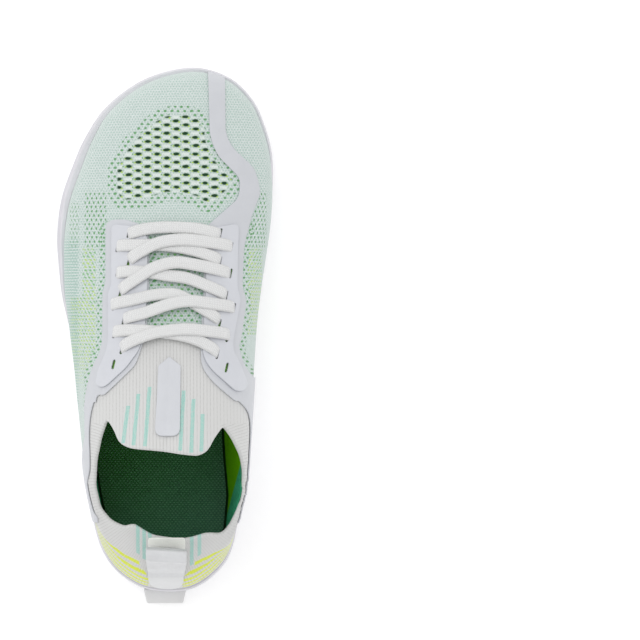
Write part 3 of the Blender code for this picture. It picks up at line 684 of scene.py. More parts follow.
    # lime stripes round the heel
    away = make.between(around, *limeBands["sides"])
    level = z - limeBands["base"] + wobble * 1.5 - away * limeBands["climb"]
    level = level / (limeBands["pitch"] - away * limeBands["squeeze"])
    thin = limeBands["half"] + (1 - away) * limeBands["fuller"]
    soft, (first, last) = limeBands["soft"], limeBands["count"]
    stripe = make.between(abs((level + 0.5).maths("FRACT") - 0.5), thin + soft, thin - soft)
    fade = make.between(around, 62.0, 44.0) * (y < -60.0)
    ends = around - 9.5 - make.between(level, 2.2, 4.2) * (9.5 + (x > 0) * 2.5) + fleck * 3.0
    stripe = stripe * (level > first) * (level < last) * fade * make.between(ends, 1.0, 1.8)
    frayed = make.between(make.noise(1.6, 2.0, around, z, 0.0), 0.3, 0.42)
    white = make.mix(stripe * frayed, white, knit["limeBright"])
    ribbed = make.between(rib, *knit["seamSoft"])
    cloth = make.mix(ribbed, cloth, white)
    cloth = make.mix(make.between(slot, *knit["seamSoft"]), cloth, knit["slotGreen"])

    airy = fleck * 0.4 - fine * 0.45 - hole * 2.0 - greens * 0.7 - dash * band * 0.4 + puff * 0.9
    ribs = stitch * 0.1 + fleck * 0.2 - groove * 0.45
    return make.finish(cloth, airy + (ribs - airy) * ribbed, knit["relief"])


# The other cloths: dark and light, or one colour
cloths = {
    "lining": (tone(66, 132, 10), tone(92, 168, 24)),
    "liningBand": (tone(40, 130, 92), tone(76, 182, 136)),
    "sock": (tone(104, 184, 0), tone(132, 214, 6)),
    "sockBand": (tone(62, 186, 138), tone(100, 228, 176)),
    # painted shadow in the gap between lining and insole
    "sockGapShadow": tone(22, 58, 20),
    "lace": (tone(216, 217, 217), tone(254, 254, 254)),
    # painted shade along the lace's edges
    "laceEdgeShade": tone(210, 210, 209),
    "insole": (tone(50, 116, 42), tone(72, 122, 96)),
    "insoleMesh": tone(112, 164, 126),
    "scuff": tone(150, 148, 148),
    "webbing": (tone(210, 211, 213), tone(228, 229, 231)),
}


def liningMaterial():
    make = Recipe("greenLining", roughness=0.9, Sheen_Weight=0.2, Specular_IOR_Level=0.2)
    x, y, z = make.millimetres()
    fleck = make.noise(0.8, 3.0, x, y, z)
    green = make.mix(fleck, *cloths["lining"])
    wale = make.ripple(y + z * 0.3, 1.6)
    teal = make.mix(make.between(wale, 0.1, 0.3), *cloths["liningBand"])
    cloth = make.mix(make.between(y, -56.0, -62.0), green, teal)
    return make.finish(cloth, wale * 2 + fleck, 0.0002)


def sockMaterial():  # the green lining and the teal band sewn in under the collar, with a painted shadow along its foot
    make = Recipe("greenSock", roughness=0.95, Specular_IOR_Level=0.08)
    x, y, z = make.millimetres()
    fleck = make.noise(0.9, 3.0, x, y, z)
    cloth = make.mix(fleck, *cloths["sock"])
    band = make.between(x - (y + 65.8) * 0.24 - 40.1, *knit["seamSoft"])
    band = larger(band, make.between(x, -33.0, -33.6) * make.between(y, -68.0, -72.0))
    wale = make.between(make.ripple(x + y * 1.6, 1.1), 0.1, 0.3)
    cloth = make.mix(band, cloth, make.mix(wale, *cloths["sockBand"]))
    # painted shadow: dark within about a millimetre of the lining's foot, where the gap to the
    # insole lies in shade
    cloth = make.mix(make.between(make.charted("gapShadowReach"), 1.5, 0.9), cloth, cloths["sockGapShadow"])
    return make.finish(cloth, wale * band + fleck * 0.4, 0.0003)


def shaded(colour, share):
    return (*[part * share for part in colour[:3]], 1)


def matteSkin(name, colour, roughness, grain=0.5, coat=0.0, depth=0.00006):
    make = Recipe(name, roughness=roughness, Coat_Roughness=0.35, Coat_Weight=coat,
                  Specular_IOR_Level=0.4)
    x, y, z = make.millimetres()
    soft = make.noise(9.0, 2.0, x, y, z)
    fine = make.noise(grain, 4.0, x, y, z)
    cloth = make.mix(make.between(soft, 0.3, 0.7), colour, shaded(colour, 0.97))
    return make.finish(cloth, fine, depth, roughness + (fine - 0.5) * 0.25)


def laceMaterial():
    make = Recipe("wovenLace", roughness=0.85, Sheen_Weight=0.3, Specular_IOR_Level=0.25)
    length, wide = make.charted("length"), make.charted("wide")
    fleck = make.noise(0.5, 2.0)
    rib = make.ripple(length, 0.95) * 2.0
    chevron = make.ripple(length + abs(wide) * 0.8, 0.95) * 2.0
    edge = make.between(abs(wide), 2.3, 2.75)
    weave = smaller(rib, chevron)
    cloth = make.mix(weave * 0.9 + 0.3 * fleck, *cloths["lace"])
    # painted shade: both edges of the lace are painted darker, where its rounded sides turn from
    # the light
    cloth = make.mix(edge * 0.4, cloth, cloths["laceEdgeShade"])
    return make.finish(cloth, weave + fleck * 0.4, 0.00022)


def insoleMaterial():
    make = Recipe("insoleWeave", roughness=0.9, Sheen_Weight=0.15, Specular_IOR_Level=0.2)
    x, y, z = make.millimetres()
    cellX, cellY = make.lattice(x, y, 1.9, 1.15)
    mesh = make.oval(cellX, cellY, 0.62, 0.36, 0.35)
    fleck = make.noise(18.0, 2.0, x, y, z)
    base = make.mix(make.between(x * 0.6 - y + fleck * 30.0, 50.0, 135.0), *cloths["insole"])
    cloth = make.mix(mesh * 0.8, base, cloths["insoleMesh"])
    return make.finish(cloth, mesh, 0.0002)


def soleMaterial(name, colour, grain):
    make = Recipe(name, roughness=0.62, Specular_IOR_Level=0.4)
    x, y, z = make.millimetres()
    fine = make.noise(grain, 4.0, x, y, z)
    broad = make.noise(14.0, 2.0, x, y, z)
    scuff = make.between(z, 3.0, 0.2) * make.between(make.noise(2.2, 4.0, x, y, z), 0.5, 0.68)
    cloth = make.mix(make.between(broad, 0.3, 0.7), colour, shaded(colour, 0.95))
    cloth = make.mix(scuff * 0.35, cloth, cloths["scuff"])
    return make.finish(cloth, fine, 0.00012, 0.55 + fine * 0.25)


def webbingMaterial():
    make = Recipe("glossyWebbing", roughness=0.5, Coat_Roughness=0.3, Coat_Weight=0.25,
                  Specular_IOR_Level=0.45)
    x, y, z = make.millimetres()
    weave = smaller(make.ripple(x, 0.7), make.ripple(z + y, 0.7)) * 2.0
    soft = make.noise(5.0, 2.0, x, y, z)
    return make.finish(make.mix(soft, *cloths["webbing"]), weave + soft, 0.00008)


finishes = {
    "sock": sockMaterial(),
    "knit": knitMaterial(),
    "lining": liningMaterial(),
    "film": matteSkin("smoothFilm", tone(209, 211, 216), 0.5, 0.6),
    "panel": matteSkin("lacePanelSkin", tone(214, 216, 222), 0.45, 0.5, 0.1),
    "tab": matteSkin("tongueTabSkin", tone(213, 215, 220), 0.45, 0.5, 0.1),
    "tape": matteSkin("heelTapeWeave", tone(248, 249, 243), 0.8, 0.45, 0.0, 0.0002),
    "patch": matteSkin("heelPatchSkin", tone(228, 229, 230), 0.55, 0.5, 0.05),
    "lace": laceMaterial(),
    "insole": insoleMaterial(),
    "sole": soleMaterial("paleSole", tone(226, 225, 230), 0.5),
    "lip": soleMaterial("heelLipGrain", tone(232, 232, 232), 0.9),
    "webbing": webbingMaterial(),
}
print("finishes ready")

# Outlines, shares of length and width seen from above
lateralFilmLine = (
    (0.705, -0.268), (0.709, -0.191), (0.698, -0.113), (0.679, -0.077), (0.582, -0.075),
    (0.497, -0.086), (0.456, -0.116), (0.434, -0.136), (0.421, -0.168), (0.386, -0.255),
    (0.378, -0.277), (0.380, -0.299), (0.367, -0.318), (0.360, -0.100), (0.158, -0.100),
    (0.137, -0.330), (0.130, -0.600), (0.345, -0.600), (0.345, -0.365), (0.375, -0.360),
    (0.424, -0.333), (0.457, -0.292), (0.480, -0.281), (0.570, -0.281), (0.587, -0.268),
)
medialFilmLine = (
    (1.040, 0.193), (0.868, 0.204), (0.830, 0.238), (0.787, 0.343), (0.749, 0.336),
    (0.696, 0.193), (0.674, 0.177), (0.582, 0.177), (0.497, 0.163), (0.444, 0.161),
    (0.426, 0.172), (0.403, 0.213), (0.367, 0.313), (0.367, 0.338), (0.360, 0.100),
    (0.158, 0.100), (0.137, 0.340), (0.130, 0.600), (0.402, 0.600), (0.407, 0.399),
    (0.437, 0.349), (0.470, 0.327), (0.480, 0.338), (0.557, 0.365), (0.580, 0.345),
    (0.659, 0.354), (0.719, 0.392), (0.762, 0.433), (0.806, 0.404), (0.843, 0.306),
    (0.871, 0.272), (1.040, 0.268),
)
lateralPanelLine = (
    (0.699, -0.242), (0.692, -0.113), (0.676, -0.083), (0.582, -0.082), (0.497, -0.094),
    (0.460, -0.123), (0.445, -0.150), (0.430, -0.176), (0.396, -0.265), (0.393, -0.288),
    (0.399, -0.310), (0.426, -0.299), (0.459, -0.263), (0.482, -0.254), (0.570, -0.256),
    (0.583, -0.242),
)
medialPanelLine = (
    (0.700, 0.331), (0.691, 0.213), (0.672, 0.185), (0.582, 0.185), (0.497, 0.172),
    (0.456, 0.170), (0.439, 0.186), (0.424, 0.213), (0.386, 0.315), (0.386, 0.350),
    (0.397, 0.370), (0.433, 0.338), (0.459, 0.304), (0.478, 0.301), (0.557, 0.338),
    (0.580, 0.322),
)
tabLine = (
    (0.448, 0.018), (0.432, 0.067), (0.367, 0.065), (0.303, 0.063), (0.303, -0.045),
    (0.367, -0.036), (0.432, -0.029),
)
patchLine = (
    (-0.074, 1.000), (0.082, 1.000), (0.080, 0.820), (0.052, 0.640), (-0.040, 0.640),
    (-0.072, 0.820),
)
# Lace slots from toe to ankle
lateralSlots = (
    (0.682, -0.165), (0.655, -0.215), (0.627, -0.165), (0.608, -0.215), (0.567, -0.203),
    (0.545, -0.232), (0.518, -0.186), (0.493, -0.228), (0.463, -0.195), (0.435, -0.231),
)
medialSlots = (
    (0.682, 0.249), (0.656, 0.298), (0.629, 0.247), (0.606, 0.294), (0.564, 0.274),
    (0.541, 0.308), (0.511, 0.243), (0.486, 0.278), (0.454, 0.233), (0.429, 0.274),
)
# The sole from its edge up to the rim: rim, flare, inset, height
soleSection = (
    (1.0, 1.0, -0.0030, 0.00),
    (1.0, 1.0, -0.0008, 0.08),
    (1.0, 1.0, 0.0000, 0.22),
    (1.0, 1.0, 0.0000, 0.40),
    (1.0, 0.0, -0.0003, 0.47),
    (1.0, 0.0, -0.0002, 0.86),
    (1.0, 0.0, -0.0008, 0.97),
    (0.6, 0.0, 0.0000, 1.00),
)

# The films' upper edge beside the collar, found from above and evened out in height
quarterRows = {
    "lateral": ((0.367, -0.318), (0.345, -0.330), (0.315, -0.339), (0.290, -0.342),
                (0.241, -0.339), (0.190, -0.330), (0.153, -0.309)),
    "medial": ((0.367, 0.338), (0.345, 0.362), (0.314, 0.378), (0.280, 0.382), (0.240, 0.376),
               (0.190, 0.355), (0.153, 0.325)),
}
filmLines = {side: rounded(planCorners(rows), 0.004)
             for side, rows in (("lateral", lateralFilmLine), ("medial", medialFilmLine))}
# The shoe's opening seen from above, in mm: tongue, big-toe side, heel, little-toe side
openingLine = [(-30.8, -42.2), (-26.4, -48.6), (-23.9, -54.9), (-19.1, -57.2), (-1.6, -58.3),
               (9.3, -60.1), (17.6, -61.0), (22.0, -58.8), (25.2, -52.8), (30.8, -45.6),
               (36.2, -53.2), (40.7, -62.4), (42.1, -70.5), (40.9, -84.0), (37.6, -93.3),
               (34.3, -100.4), (30.2, -105.2), (22.0, -104.5), (15.7, -106.5), (8.3, -107.6),
               (-6.8, -105.5), (-12.3, -102.4), (-17.0, -99.4), (-21.6, -101.1), (-28.9, -98.1),
               (-34.8, -91.3), (-37.8, -78.0), (-37.2, -65.0), (-34.5, -52.2)]
opening = [Vector(p) / 1000 for p in rounded(openingLine, 3.0)]
collarLow = 0.066  # no part of the opening's edge lies lower
collarRound = 0.0007
openingField = planField(opening)
# Toe vents, where the rib knit starts, and the throat under the laces, in mm
ventLine = [(-24.7, 94.9), (-20.0, 102.3), (-13.1, 109.1), (-5.8, 115.4), (0.0, 118.3),
            (6.8, 119.1), (13.7, 118.8), (18.9, 116.5), (23.1, 109.6), (24.2, 102.3),
            (27.3, 94.9), (32.6, 88.6), (39.2, 83.1), (37.3, 78.1), (32.1, 72.8), (26.8, 68.1),
            (21.6, 66.5), (16.3, 70.7), (7.9, 72.8), (0.0, 72.8), (-7.9, 70.2), (-15.8, 69.1),
            (-24.7, 68.6), (-27.9, 76.0), (-27.9, 87.5)]
ribLine = [(-12.0, 0.5), (-13.1, -8.1), (-17.2, -15.4), (-20.4, -17.0), (-30.8, -26.9),
           (-33.9, -28.5), (-36.6, -28.5), (-39.3, -35.0), (-41.0, -50.0), (45.5, -50.0),
           (43.3, -38.4), (40.2, -32.1), (37.1, -32.1), (25.6, -22.7), (21.4, -17.0),
           (18.8, -9.1), (18.0, 0.5)]
throatLine = [(-11.5, 55.5), (20.5, 55.5), (20.5, 20.0), (18.5, -2.0), (-11.5, -2.0),
              (-11.5, 20.0)]


# The films behind the tongue
quarter = {
    "start": 0.366, "bareHeel": 0.15,  # shares of the length
    "underCollar": 0.0045, "sideways": 0.024,  # metres, as are the next two places
    "lowerStart": -0.024, "lowerEnd": (-0.092, 0.004),
    "ribMargin": 1.2, "ribbed": 9.0,  # millimetres
}


def quarterTop(side, ys):  # how high the film reaches behind the tongue
    edge = np.interp(ys, *collarHeights[side]) - quarter["underCollar"]
    return np.minimum(np.polyval(quarterCurves[side], ys), edge)


def filmField(side):
    cut = planField(filmLines[side])
    start = plan(quarter["start"], 0).y

    def field(points):
        value = cut(points)
        under = quarterTop(side, points[:, 1]) - points[:, 2]
        value = np.where(points[:, 1] < start, np.minimum(value, under), value)
        if side == "lateral":
            over = points[:, 2] - np.interp(points[:, 1], *lowerEdge)
            value = np.where(points[:, 1] < quarter["lowerStart"], np.minimum(value, over), value)
        return value
    return field


def chartKnit(shape):
    points = places(shape)
    flat, ys = points[:, :2] * 1000, points[:, 1]
    chart(shape, "vent", insideBy(flat, ventLine))
    tops = np.where(points[:, 0] < 0, quarterTop("lateral", ys), quarterTop("medial", ys))
    above = (points[:, 2] - tops) * 1000 + quarter["ribMargin"]
    above = np.where(ys < plan(quarter["bareHeel"], 0).y, quarter["ribbed"], above)
    behind = ys < plan(quarter["start"], 0).y
    chart(shape, "rib", np.where(behind, above, insideBy(flat, ribLine)))
    chart(shape, "throat", insideBy(flat, throatLine))
    films = np.maximum(filmField("lateral")(points), filmField("medial")(points))
    chart(shape, "film", -films * 1000)
    holes = np.full(len(points), -9.0)
    for along, across in lateralSlots + medialSlots:
        centre = plan(along, across) * 1000
        offX, offY = np.abs(flat[:, 0] - centre.x), np.abs(flat[:, 1] - centre.y)
        holes = np.maximum(holes, 1.6 - np.hypot(offX, np.maximum(offY - 3.0, 0)))
    chart(shape, "slot", holes)


def dropOn(tree, x, y):  # place and normal straight under a point, or None where it misses
    return tree.ray_cast(Vector((x, y, 0.3)), Vector((0, 0, -1)))[:2]


def softStep(values, low, high):
    share = np.clip((values - low) / (high - low), 0, 1)
    return share * share * (3 - 2 * share)


def soften(shape, weightOf, corner, size, rounds):
    # heights read from above on an even 1 mm grid, evened out, and given back by weight
    tree = BVHTree.FromBMesh(shape)
    step = 0.001
    wide, long = (int(side / step) for side in size)
    heights = np.full((wide, long), np.nan)
    for i in range(wide):
        for j in range(long):
            spot = dropOn(tree, corner[0] + i * step, corner[1] + j * step)[0]
            if spot is not None:
                heights[i, j] = spot.z
    known = ~np.isnan(heights)
    heights = np.where(known, heights, 0.0)
    for _ in range(rounds):
        total, count = heights * known, known.astype(float)
        for axis in (0, 1):
            for way in (1, -1):
                total = total + np.roll(heights * known, way, axis)
                count = count + np.roll(known, way, axis)
        heights = np.where(known, total / np.maximum(count, 1), 0.0)
    points = places(shape)
    weights = weightOf(points)
    for vert, point, weight in zip(shape.verts, points, weights):
        a, b = (point[0] - corner[0]) / step, (point[1] - corner[1]) / step
        i, j = int(a), int(b)
        if weight < 0.001 or not (0 <= i < wide - 1 and 0 <= j < long - 1):
            continue
        if not known[i:i + 2, j:j + 2].all():
            continue
        a, b = a - i, b - j
        near = heights[i, j] * (1 - b) + heights[i, j + 1] * b
        far = heights[i + 1, j] * (1 - b) + heights[i + 1, j + 1] * b
        vert.co.z += (near * (1 - a) + far * a - point[2]) * weight


# The sheet's cells, the share of them in the cup, and where the knit stretches smoothly:
# fades in y and in height, then the grid's corner, size and rounds
knitForm = {
    "across": 400, "up": 64, "cup": 0.3125,
    "even": (((-0.062, -0.080), (0.040, 0.056), (-0.05, -0.14), (0.10, 0.10), 90),
             ((0.062, 0.085), (0.036, 0.042), (-0.06, 0.04), (0.12, 0.10), 30)),
}


def knitSheet():  # the whole last as one sheet, with its girth and way round charted
    across, up, cup = (knitForm[name] for name in ("across", "up", "cup"))
    shape = bmesh.new()
    bmesh.ops.create_grid(shape, x_segments=across, y_segments=up, size=0.5)
    girth = shape.verts.layers.float.new("girth")
    around = shape.verts.layers.float.new("around")
    ways = [0.0]
    for i in range(1, across + 1):
        ways.append(ways[-1] + (wallLine(i / across) - wallLine((i - 1) / across)).length)
    rows = {}
    for vert in shape.verts:
        u, v = vert.co.x + 0.5, vert.co.y + 0.5
        rows.setdefault(round(u * across), []).append((v, vert))
    for i, rib in rows.items():
        turn = i / across
        rib.sort(key=lambda item: item[0])
        length, before = 0.0, None
        start = ringAt(turn)["start"]
        for v, vert in rib:
            climb = v / cup - 1 if v < cup else (v - cup) / (1 - cup)
            vert.co = lastPoint(turn, climb)
            if before is not None and vert.co.z > start:
                length += (vert.co - before).length * 1000
            before = vert.co.copy()
            vert[girth] = length
            vert[around] = min(ways[i], ways[-1] - ways[i]) * 1000
    weld(shape)
    faceOut(shape)
    for ys, zs, corner, size, rounds in knitForm["even"]:
        soften(shape, lambda p: softStep(p[:, 1], *ys) * softStep(p[:, 2], *zs), corner, size,
               rounds)
    shape.normal_update()
    return shape


whole = knitSheet()
knitTree = BVHTree.FromBMesh(whole)


def quarterCurve(rows):
    spots = [onKnit(p.x, p.y, 0) for p in planCorners(rows)]
    return np.polyfit([p.y for p in spots], [p.z for p in spots], 3)


def onKnit(x, y, high):  # straight down on to the knit, then out along its normal
    spot, normal = dropOn(knitTree, x, y)
    return spot + normal * high


quarterCurves = {side: quarterCurve(rows) for side, rows in quarterRows.items()}


def collarHeight(way):  # how high the opening's edge lies along one side, from heel to tongue
    spots = [onKnit(p.x, p.y, 0) for p in opening if p.x * way > quarter["sideways"]]
    spots.sort(key=lambda p: p.y)
    return [p.y for p in spots], [max(p.z, collarLow) for p in spots]


collarHeights = {"lateral": collarHeight(-1), "medial": collarHeight(1)}
# Where the little-toe side's film ends above the mint knit, falling to the sole at the rear
lowerLine = ((-41.2, -54.0), (-41.3, -45.0), (-41.7, -36.0), (-40.5, -26.0))
lowerSpots = [onKnit(x / 1000, y / 1000, 0) for x, y in lowerLine]
lowerEdge = [[quarter["lowerEnd"][k - 1]] + [p[k] for p in lowerSpots] for k in (1, 2)]


def makeUpper():
    shape = whole.copy()
    chartKnit(shape)
    trim(shape, lambda points: np.maximum(-openingField(points), collarLow - points[:, 2]))
    thicken(shape, 0.0, -shoe["knitWall"], collarRound, 3, 1)
    belongs(makePiece("knitUpper", shape, finishes["knit"], finishes["lining"]), "knit", "upper")


# The insole's visible edge, x and y in mm: big-toe side and little-toe side
liningBase = {"inner": ((29.0, -36.0), (30.2, -50.4), (30.9, -63.5), (32.7, -85.0), (31.2, -102.9),
                        (29.0, -106.0)),
              "outer": ((-36.8, -34.0), (-36.8, -50.0), (-36.0, -69.3), (-34.4, -80.8),
                        (-32.2, -92.2), (-30.0, -98.0))}
liningShape = {"hem": 0.0006, "under": 0.0032, "lift": 0.0036, "sag": 0.0012, "wall": 0.0005,
               "least": 0.0002, "cells": (60, 24), "back": (0.0026, 0.002, 0.0014, 0.0008, 0.0)}


def makeLinings():
    for side, base in liningBase.items():
        way = 1 if side == "inner" else -1
        xs, ys = ([p[k] / 1000 for p in base] for k in (0, 1))
        across, up = liningShape["cells"]

        def rimAt(y):  # the opening's edge on this side
            reach = 0.0
            for a, b in zip(opening, opening[1:] + opening[:1]):
                if (a.y - y) * (b.y - y) <= 0 and a.y != b.y:
                    reach = max(reach, way * (a.x + (b.x - a.x) * (y - a.y) / (b.y - a.y)))
            return reach

        def wallAt(y):  # the knit's inner face
            start = Vector((way * 0.2, y, collarLow))
            wall = knitTree.ray_cast(start, Vector((-way, 0, 0)))[0]
            return wall.x * way - shoe["knitWall"] - shoe["gap"]

        def roofAt(x, y):  # just under the collar
            for step in liningShape["back"]:
                spot = dropOn(knitTree, x + way * step, y)[0]
                if spot is not None and spot.z > collarLow:
                    return spot.z - liningShape["under"]
            return collarLow - liningShape["under"]

        rows = []
        for y in np.linspace(ys[0], ys[-1], across + 1):
            low = float(np.interp(-y, [-k for k in ys], xs))
            high = max(rimAt(y), low * way + 2 * liningShape["least"]) + liningShape["hem"]
            high = way * max(min(high, wallAt(y)), low * way + liningShape["least"])
            rows.append((y, low, high, roofAt(high, y)))
        lowest = [min(row[3] for row in rows[max(k - 3, 0):k + 4]) for k in range(across + 1)]
        near = [lowest[max(k - 2, 0):k + 3] for k in range(across + 1)]
        roofs = [sum(group) / len(group) for group in near]

        def place(u, v):
            y, low, high = rows[round(u * across)][:3]
            foot = floorHeight(y) + liningShape["lift"]
            sag = way * liningShape["sag"] * math.sin(math.pi * v)
            return Vector((low + (high - low) * v ** 1.3 + sag, y,
                           foot + (roofs[round(u * across)] - foot) * v))

        shape = addSheet(place, across, up)
        shape.normal_update()
        points = places(shape)
        lows = np.interp(-points[:, 1], [-k for k in ys], xs)
        # distance from the lining's foot in mm, where its painted gap shadow goes
        chart(shape, "gapShadowReach", np.maximum(way * (points[:, 0] - lows) * 1000, 0))
        if sum(f.normal.x for f in shape.faces) * way > 0:
            bmesh.ops.reverse_faces(shape, faces=shape.faces)
        thicken(shape, 0.0, -liningShape["wall"], 0.0002, 2)
        belongs(makePiece(side + "Lining", shape, finishes["sock"]), "knit", "upper")


makeUpper()
makeLinings()
print("upper knitted")

overlay = {"film": 0.0007, "filmLift": 0.0003, "panel": 0.0008, "panelLift": 0.0013,
           "edge": 0.00022, "tab": 0.001, "slotLong": 0.0056, "slotWide": 0.0018,
           "slotSway": 0.0006, "swayTurn": 400, "filmSheet": ((-0.62, 0.96), 300, 110),
           "panelSheet": ((0.0, 0.97), 180, 110), "panelRound": 0.003, "margin": 0.002,
           "tabRounds": (0.0003, 0.0005, 0.001, 0.004, 0.004, 0.001, 0.0005),
           "patchRounds": (0.0008, 0.0008, 0.004, 0.006, 0.006, 0.004), "tapeRound": 0.001}


def slotField(slots):
    wide, long = overlay["slotWide"] / 2, overlay["slotLong"] / 2

    def field(points):
        nearest = np.full(len(points), 1e9)
        for along, across in slots:
            centre = plan(along, across)
            sway = overlay["slotSway"] * np.sin((points[:, 1] - centre.y) * overlay["swayTurn"])
            dx = np.abs(points[:, 0] - centre.x - sway)
            dy = np.maximum(np.abs(points[:, 1] - centre.y) - (long - wide), 0)
            nearest = np.minimum(nearest, np.hypot(dx, dy) - wide)
        return nearest
    return field


def overlaySheet(turns, climbs, across, up, high):
    shape = lastSheet(turns, climbs, across, up)
    for vert in shape.verts:
        vert.co = knitTree.find_nearest(vert.co)[0]
    shape.normal_update()
    lift(shape, high)
    return shape


def cover(name, node, finish, shape, thick, edge, steps):  # a thin piece lying on the knit
    thicken(shape, thick, 0.0, edge, steps)
    belongs(makePiece(name, shape, finishes[finish]), "film", node)


# Where each side's film and lace panel lie: turns round the shoe, panel outline, slots
filmSides = {
    "lateral": ((0.09, 0.42), (0.20, 0.37), lateralPanelLine, lateralSlots),
    "medial": ((0.91, 0.455), (0.80, 0.63), medialPanelLine, medialSlots),
}


def makeFilms():
    for side, (filmTurns, panelTurns, panelLine, slots) in filmSides.items():
        shape = overlaySheet(filmTurns, *overlay["filmSheet"], overlay["filmLift"])
        trim(shape, filmField(side))
        trim(shape, slotField(slots))
        cover("film" + side.title(), "overlay_" + side, "film", shape, overlay["film"],
              overlay["edge"], 2)
        shape = overlaySheet(panelTurns, *overlay["panelSheet"], overlay["panelLift"])
        trim(shape, planField(rounded(planCorners(panelLine), overlay["panelRound"])))
        trim(shape, slotField(slots))
        cover("lacePanel" + side.title(), "lace_panel_" + side, "panel", shape,
              overlay["panel"], overlay["edge"], 3)


makeFilms()
print("films and lace panels laid on")


def drapedSheet(corners, radius, high, cells=0.0009):  # a trimmed sheet dropped from above
    margin = overlay["margin"]
    left, low = (min(c[k] for c in corners) - margin for k in (0, 1))
    wide = max(c[0] for c in corners) + margin - left
    long = max(c[1] for c in corners) + margin - low
    shape = addSheet(lambda u, v: onKnit(left + wide * u, low + long * v, high),
                     int(wide / cells), int(long / cells))
    trim(shape, planField(rounded(corners, radius)))
    return shape


def makeTab():
    shape = drapedSheet(planCorners(tabLine), overlay["tabRounds"], overlay["filmLift"], 0.0006)
    cover("tongueTab", "tongue_tab", "tab", shape, overlay["tab"], 0.00025, 3)


makeTab()


def smoothPath(points, steps):
    ends = [2 * points[0] - points[1], *points, 2 * points[-1] - points[-2]]
    path = []
    for a, b, c, d in zip(ends, ends[1:], ends[2:], ends[3:]):
        path += [glide(a, b, c, d, step / steps) for step in range(steps)]
    return path + [points[-1]]


lace = {"width": 0.0067, "thickness": 0.0019, "lift": 0.0029, "over": 0.0018, "dip": 0.0022,
        "rounding": 0.55, "steps": 14, "rounds": 6, "dipShare": 26, "archFrom": 0.03,
        "archPower": 0.7}
# Runs from slot to slot in mm, seen from above; the flag says which lies on top
laceRuns = (
    ("bar", 0, ((-18.9, 52.9), (-8.9, 55.3), (1.6, 56.0), (15.7, 55.3), (28.5, 52.6))),
    ("firstUnder", 0, ((-24.8, 46.6), (-13.1, 46.6), (1.0, 46.4), (15.2, 43.7), (28.5, 39.0))),
    ("firstOver", 1, ((-18.5, 39.0), (-11.5, 43.2), (-2.6, 47.4), (7.9, 49.0), (18.3, 48.5),
                      (34.8, 46.6))),
    ("secondUnder", 0, ((-24.8, 32.2), (-18.3, 32.7), (-7.9, 32.2), (1.0, 30.6), (11.5, 29.1),
                        (22.0, 24.9), (31.3, 20.7))),
    ("secondOver", 1, ((-23.0, 22.8), (-15.7, 27.5), (-5.8, 33.8), (4.7, 36.9), (15.2, 35.9),
                       (33.4, 32.5))),
    ("thirdUnder", 0, ((-28.0, 15.7), (-16.2, 17.8), (-5.8, 20.2), (4.7, 20.7), (11.5, 17.8),
                       (18.3, 13.6), (27.8, 7.3))),
    ("thirdOver", 1, ((-21.3, 8.1), (-9.4, 10.7), (1.0, 14.4), (11.5, 16.5), (22.0, 15.7),
                      (35.5, 14.4))),
    ("fourthUnder", 0, ((-26.7, 1.6), (-14.1, 1.8), (-2.6, 0.8), (7.9, -0.8), (17.3, -3.9),
                        (26.9, -9.7))),
    ("fourthOver", 1, ((-22.5, -7.1), (-13.1, -2.9), (-2.6, 0.3), (10.5, 1.6), (21.0, 1.0),
                       (33.0, 0.0))),
)
laceNodes = {"bar": "lace_bar", "first": "lace_crossing_1", "second": "lace_crossing_2",
             "third": "lace_crossing_3", "fourth": "lace_crossing_4"}


def ribbon(path, normals, width, thickness, rounding=0.45, sides=20, swell=None):
    # a flat band swept along a path, its section a rounded slab
    lengths = [0.0]
    for a, b in zip(path, path[1:]):
        lengths.append(lengths[-1] + (b - a).length)
    shape = bmesh.new()
    count = len(path) - 1
    bmesh.ops.create_grid(shape, x_segments=sides, y_segments=count, size=0.5)
    lengthLayer = shape.verts.layers.float.new("length")
    wideLayer = shape.verts.layers.float.new("wide")
    for vert in shape.verts:
        angle = 2 * math.pi * (vert.co.x + 0.5)
        i = round((vert.co.y + 0.5) * count)
        ahead = (path[min(i + 1, count)] - path[max(i - 1, 0)]).normalized()
        up = (normals[i] - ahead * normals[i].dot(ahead)).normalized()
        side = ahead.cross(up)
        c, s = math.cos(angle), math.sin(angle)
        off = math.copysign(abs(c) ** rounding, c) * width / 2
        high = math.copysign(abs(s) ** 0.8, s) * thickness / 2
        if swell and s > 0:
            high += swell(path[i])
        vert.co = path[i] + side * off + up * high
        vert[lengthLayer] = lengths[i] * 1000
        vert[wideLayer] = off * 1000
    weld(shape, 0.00001)
    rims = [e for e in shape.edges if e.is_boundary]
    bmesh.ops.edgeloop_fill(shape, edges=rims)
    bmesh.ops.recalc_face_normals(shape, faces=shape.faces)
    return shape


def laceHeights(flags, run):  # the upper run of a pair climbs over the lower one
    path = smoothPath([Vector((x / 1000, y / 1000, 0)) for x, y in run], lace["steps"])
    total = len(path) - 1
    points, normals = [], []
    for i, spot in enumerate(path):
        share = i / total
        dip = max(0.0, 1 - min(share, 1 - share) * lace["dipShare"])
        inside = (share - lace["archFrom"]) / (1 - 2 * lace["archFrom"])
        arch = math.sin(math.pi * min(1.0, max(0.0, inside))) ** lace["archPower"]
        high = lace["lift"] + (lace["over"] * arch if flags else 0.0) - dip * lace["dip"]
        under, normal = dropOn(knitTree, spot.x, spot.y)
        normals.append(normal)
        points.append(under + normal * high)
    for _ in range(lace["rounds"]):  # draws the run smooth between its ends
        points = [points[0], points[1],
                  *[(a + b * 2 + c) / 4 for a, b, c in zip(points[1:], points[2:-2], points[3:])],
                  points[-2], points[-1]]
    return points, normals


